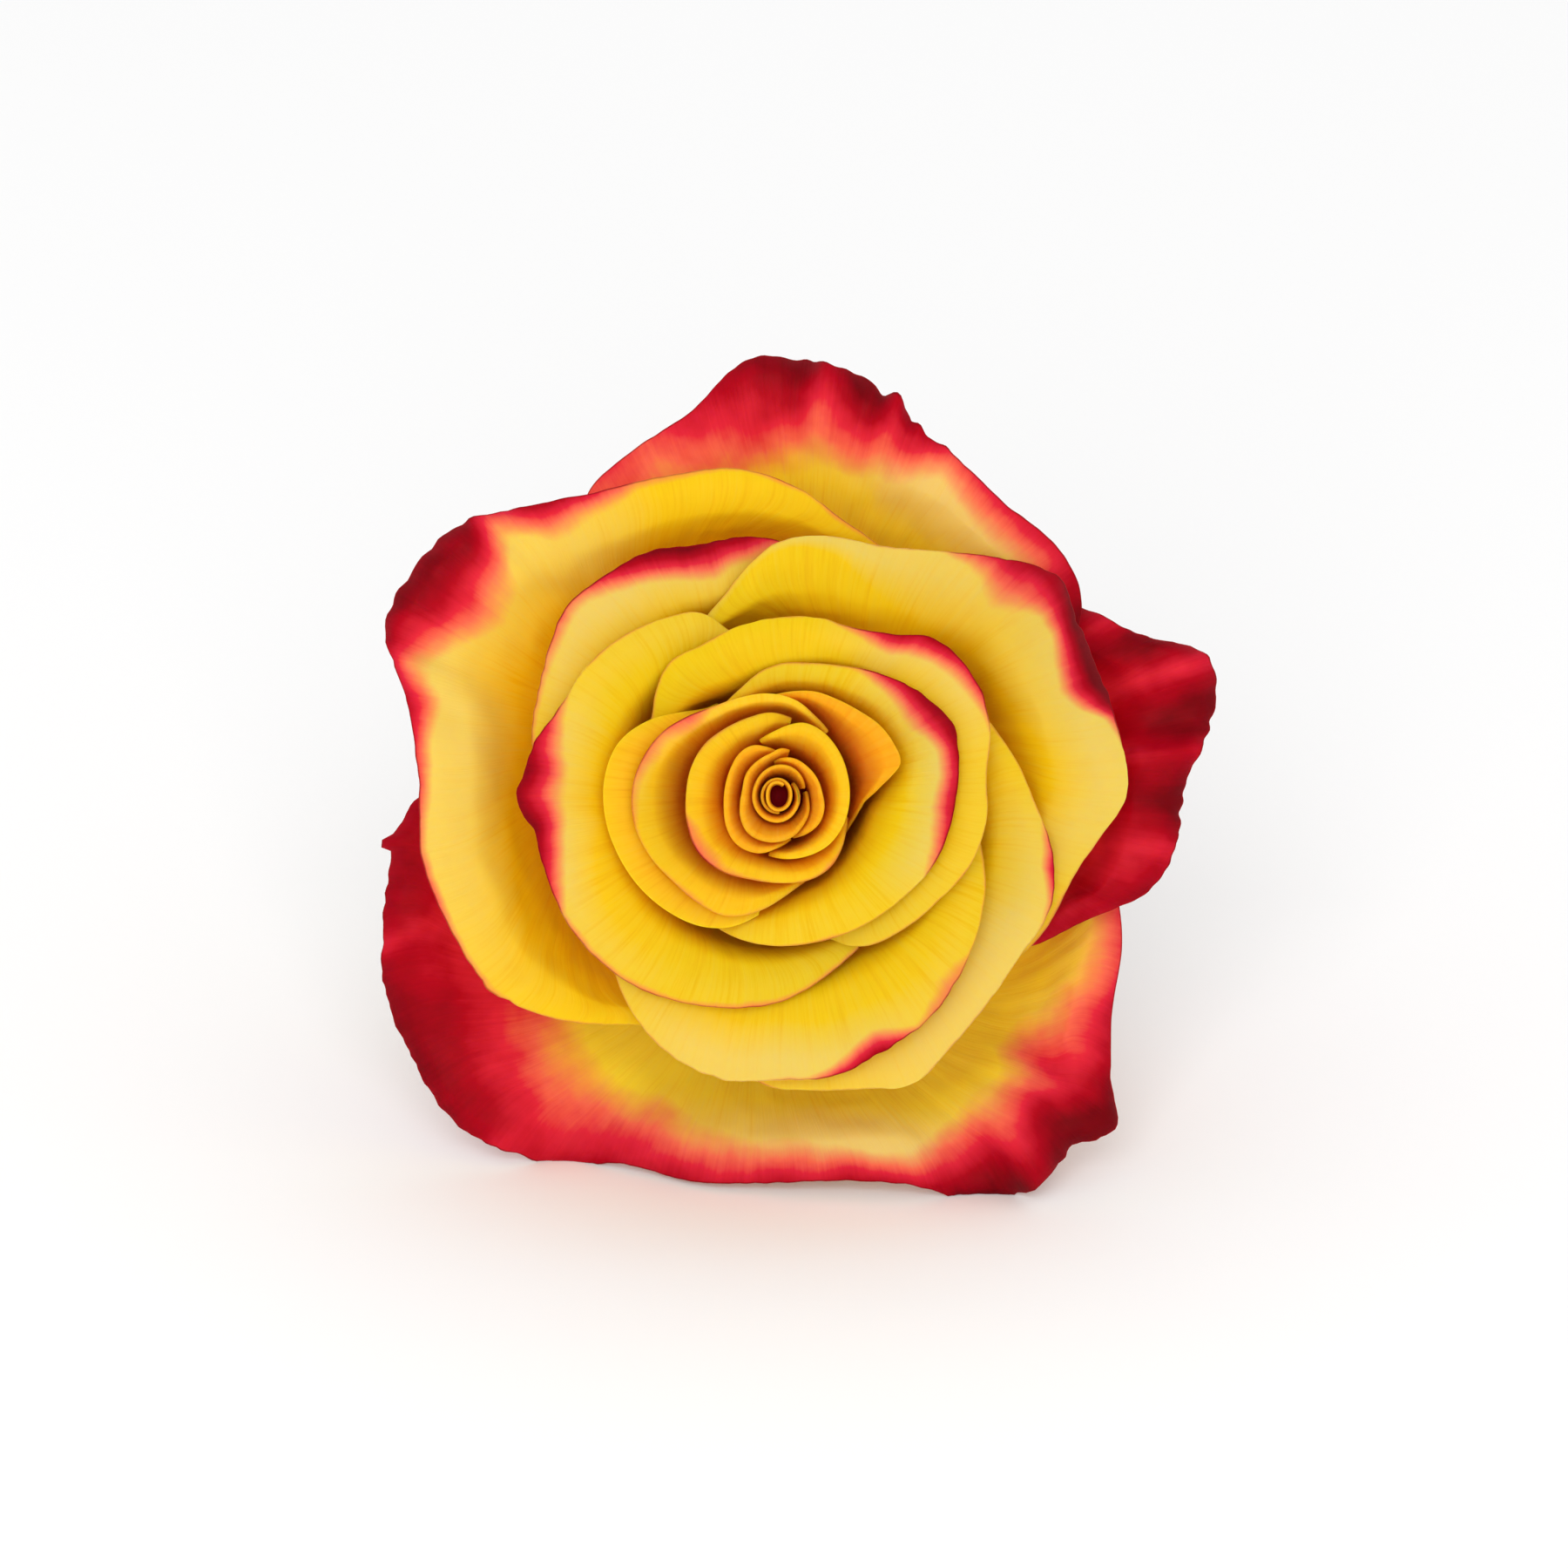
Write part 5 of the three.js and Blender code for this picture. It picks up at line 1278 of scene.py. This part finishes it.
def stemTree(sizes, bark, thorn):
    tree, given = newTree("stem along its path", sizes)
    path = addNode(tree, "GeometryNodeCurvePrimitiveBezierSegment", {"mode": "POSITION"}, {
        "Resolution": given["Steps"], "Start": given["Start"], "Start Handle": given["Start pull"],
        "End Handle": given["End pull"], "End": given["End"],
    })
    ring = addNode(tree, "GeometryNodeCurvePrimitiveCircle", None, {
        "Resolution": given["Sides"], "Radius": given["Radius"],
    })
    rod = addNode(tree, "GeometryNodeCurveToMesh", None, {
        "Curve": path, "Profile Curve": ring, "Fill Caps": True,
    })
    bumps = addNode(tree, "ShaderNodeTexNoise", None, {"Scale": given["Bumps a metre"], "Detail": 2})
    dent = addNode(tree, "ShaderNodeMath", {"operation": "MULTIPLY"}, {
        0: addNode(tree, "ShaderNodeMath", {"operation": "MULTIPLY"}, {0: bumps, 1: -1}),
        1: given["Unevenness"],
    })
    uneven = addNode(tree, "GeometryNodeSetPosition", None, {
        "Geometry": rod,
        "Offset": addNode(tree, "ShaderNodeVectorMath", {"operation": "SCALE"}, {
            0: addNode(tree, "GeometryNodeInputNormal"), "Scale": dent,
        }),
    })
    prickle = prickleGeometry(tree, given)
    prickles = []
    for share, azimuth in stem["prickles"]:
        outward = np.array(inBloom(azimuth, np.array([1.0, 0.0])))
        lean = math.radians(stem["prickleLean"])
        point = outward * math.cos(lean) - np.array([0, 0, math.sin(lean)])
        hooked = -outward * math.sin(lean) - np.array([0, 0, math.cos(lean)])
        turnTo = Matrix((tilt @ np.stack([hooked, np.cross(point, hooked), point], -1)).tolist())
        root = outward * stem["radius"] - point * stem["prickleSink"]
        spot = addNode(tree, "GeometryNodeSampleCurve", {"mode": "FACTOR"}, {
            "Curves": path, "Factor": share,
        })
        prickles.append(addNode(tree, "GeometryNodeTransform", None, {
            "Geometry": prickle,
            "Translation": addNode(tree, "ShaderNodeVectorMath", {"operation": "ADD"}, {
                0: spot.outputs["Position"], 1: tuple(tilt @ root / 1000),
            }),
            "Rotation": turnTo.to_euler(),
            "Scale": (1, stem["prickleFlatness"], 1),
        }))
    finishTree(tree, [(uneven, bark), (joinedGeometry(tree, prickles), thorn)])
    return tree


# Cut face: pale moist pith in a ring of green fibres
pith = {
    "size": 1.2,  # the slanted face is an oval, about this much wider than the stem
    "fibreSize": 0.3846, "fibreShare": 0.3, "fibreDepth": 0.1,
    "colours": [(0.35, "#F1EDCB"), (0.72, "#DCE0A4"), (0.86, "#A9BC62"), (1.0, "#5E7C30")],
    "roughness": 0.38, "glow": 0.2, "glowReach": 1,
}


def pithMaterial(centre):
    material, tree = newMaterial("freshly cut rose stem, pith and fibres")
    place = addNode(tree, "ShaderNodeTexCoord").outputs["Object"]
    away = addNode(tree, "ShaderNodeVectorMath", {"operation": "DISTANCE"}, {0: place, 1: tuple(centre)})
    ringShare = addNode(tree, "ShaderNodeMath", {"operation": "DIVIDE"}, {
        0: away.outputs["Value"], 1: stem["radius"] * pith["size"] / 1000,
    })
    fibres = addNode(tree, "ShaderNodeTexNoise", None, {
        "Vector": place, "Scale": 1000 / pith["fibreSize"], "Detail": 3,
    })
    mixed = addNode(tree, "ShaderNodeMath", {"operation": "MULTIPLY_ADD"}, {
        0: fibres, 1: pith["fibreShare"], 2: ringShare,
    })
    face = addNode(tree, "ShaderNodeBsdfPrincipled", None, {
        "Base Color": addNode(tree, "ShaderNodeValToRGB", None, {"Fac": mixed}, pith["colours"]),
        "Roughness": pith["roughness"], "Subsurface Weight": pith["glow"],
        "Subsurface Scale": pith["glowReach"] / 1000,
        "Normal": addNode(tree, "ShaderNodeBump", None, {
            "Strength": 0.5, "Distance": pith["fibreDepth"] / 1000, "Height": fibres,
        }),
    })
    addNode(tree, "ShaderNodeOutputMaterial", None, {"Surface": face})
    return material


bark = greenSkin(
    "waxy green rose stem, streaked, tanned red in patches", "axis", (0.4545, 0.4545, 10),
    "#3F5F20", "#557A2C", "#86A04C", "#6E3524", 0.5, 0.4,
)
thorn = greenSkin(
    "woody rose prickle, reddish brown", "axis", (0.5, 0.5, 0.5),
    "#6A2418", "#8C3A24", "#B8794E", "#55150F", 0.6, 0.38,
)
stemMade = runTree(
    "rose_stem", stemTree(stemSizes, bark, thorn), bpy.data.meshes.new("stem start"), stemSizes,
)
cutPoint = inFrame((0, -stem["radius"], -stemLength))
cutNormal = Vector(tilt @ np.array([0, math.sqrt(0.5), math.sqrt(0.5)]))
stemMade.data.materials.append(pithMaterial(inFrame((0, 0, -stemLength - stem["radius"]))))
work = bmesh.new()
work.from_mesh(stemMade.data)
everything = [*work.verts, *work.edges, *work.faces]
cut = bmesh.ops.bisect_plane(
    work, geom=everything, plane_co=cutPoint, plane_no=cutNormal, clear_inner=True,
)["geom_cut"]
cutEdges = [item for item in cut if isinstance(item, bmesh.types.BMEdge)]
for face in bmesh.ops.contextual_create(work, geom=cutEdges)["faces"]:
    face.material_index = len(stemMade.data.materials) - 1
    face.smooth = False
bmesh.ops.recalc_face_normals(work, faces=work.faces)
work.to_mesh(stemMade.data)
work.free()
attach(stemMade, "root")
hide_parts("stem")
print("stem made")

# The camera looks straight into the bloom, as the photo does
view = {
    "centre": (0.7, 1.3, 38),  # bloom frame, mm
    "width": 180,  # mm across the whole picture at the bloom
    "distance": 2400,
    "sensor": 36,
    "near": 0.05, "far": 50,  # m
}
axis = Vector(tilt @ np.array([0, 0, 1.0]))
centre = inFrame(view["centre"])
cameraData = bpy.data.cameras.new("camera")
cameraData.sensor_width = view["sensor"]
cameraData.lens = view["sensor"] * view["distance"] / view["width"]
cameraData.clip_start = view["near"]
cameraData.clip_end = view["far"]
camera = newObject("camera", cameraData)
camera.location = centre + axis * view["distance"] / 1000
camera.rotation_euler = axis.to_track_quat("Z", "Y").to_euler()
bpy.context.scene.camera = camera

# Studio: a pale floor, a soft sky all round, and one large soft light near the camera
studio = {
    "floorSize": 14, "floorColour": "#FEFEFE", "floorRoughness": 0.9,
    "paperGrain": 1.111, "grainDepth": 0.1,  # mm
    "skyStrength": 0.82,
    "keyPower": 25, "keySize": 1.2, "keyDistance": 2.2, "keyOffset": (-0.12, 0.2),
}
# Uncoated paper: pressed fibres leave a faint grain and no shine
floorMaterial, tree = newMaterial("matt white paper sweep")
grain = addNode(tree, "ShaderNodeTexNoise", None, {
    "Vector": addNode(tree, "ShaderNodeTexCoord").outputs["Object"],
    "Scale": 1000 / studio["paperGrain"], "Detail": 3,
})
paper = addNode(tree, "ShaderNodeBsdfPrincipled", None, {
    "Base Color": hexColour(studio["floorColour"]), "Roughness": studio["floorRoughness"],
    "Specular IOR Level": 0.1,
    "Normal": addNode(tree, "ShaderNodeBump", None, {
        "Strength": 0.05, "Distance": studio["grainDepth"] / 1000, "Height": grain,
    }),
})
addNode(tree, "ShaderNodeOutputMaterial", None, {"Surface": paper})
floorMesh = bpy.data.meshes.new("floor")
floorHalf = studio["floorSize"] / 2
corners = [(x * floorHalf, y * floorHalf, 0) for x, y in ((-1, -1), (1, -1), (1, 1), (-1, 1))]
floorMesh.from_pydata(corners, [], [(0, 1, 2, 3)])
floorMesh.materials.append(floorMaterial)
floor = newObject("floor", floorMesh)

world = bpy.data.worlds.new("soft white sky")
world.use_nodes = True
world.node_tree.nodes.clear()
sky = addNode(world.node_tree, "ShaderNodeBackground", None, {
    "Color": (1, 1, 1, 1), "Strength": studio["skyStrength"],
})
addNode(world.node_tree, "ShaderNodeOutputWorld", None, {"Surface": sky})
bpy.context.scene.world = world

keyData = bpy.data.lights.new("key softbox", "AREA")
keyData.shape = "SQUARE"
keyData.size = studio["keySize"]
keyData.energy = studio["keyPower"]
key = newObject("key softbox", keyData)
right = Vector((1, 0, 0))
up = axis.cross(right)
aside, above = studio["keyOffset"]
key.location = centre + axis * studio["keyDistance"] + right * aside + up * above
key.rotation_euler = (key.location - centre).to_track_quat("Z", "Y").to_euler()
bpy.context.scene.view_settings.view_transform = "Standard"
print("camera, floor and light set")
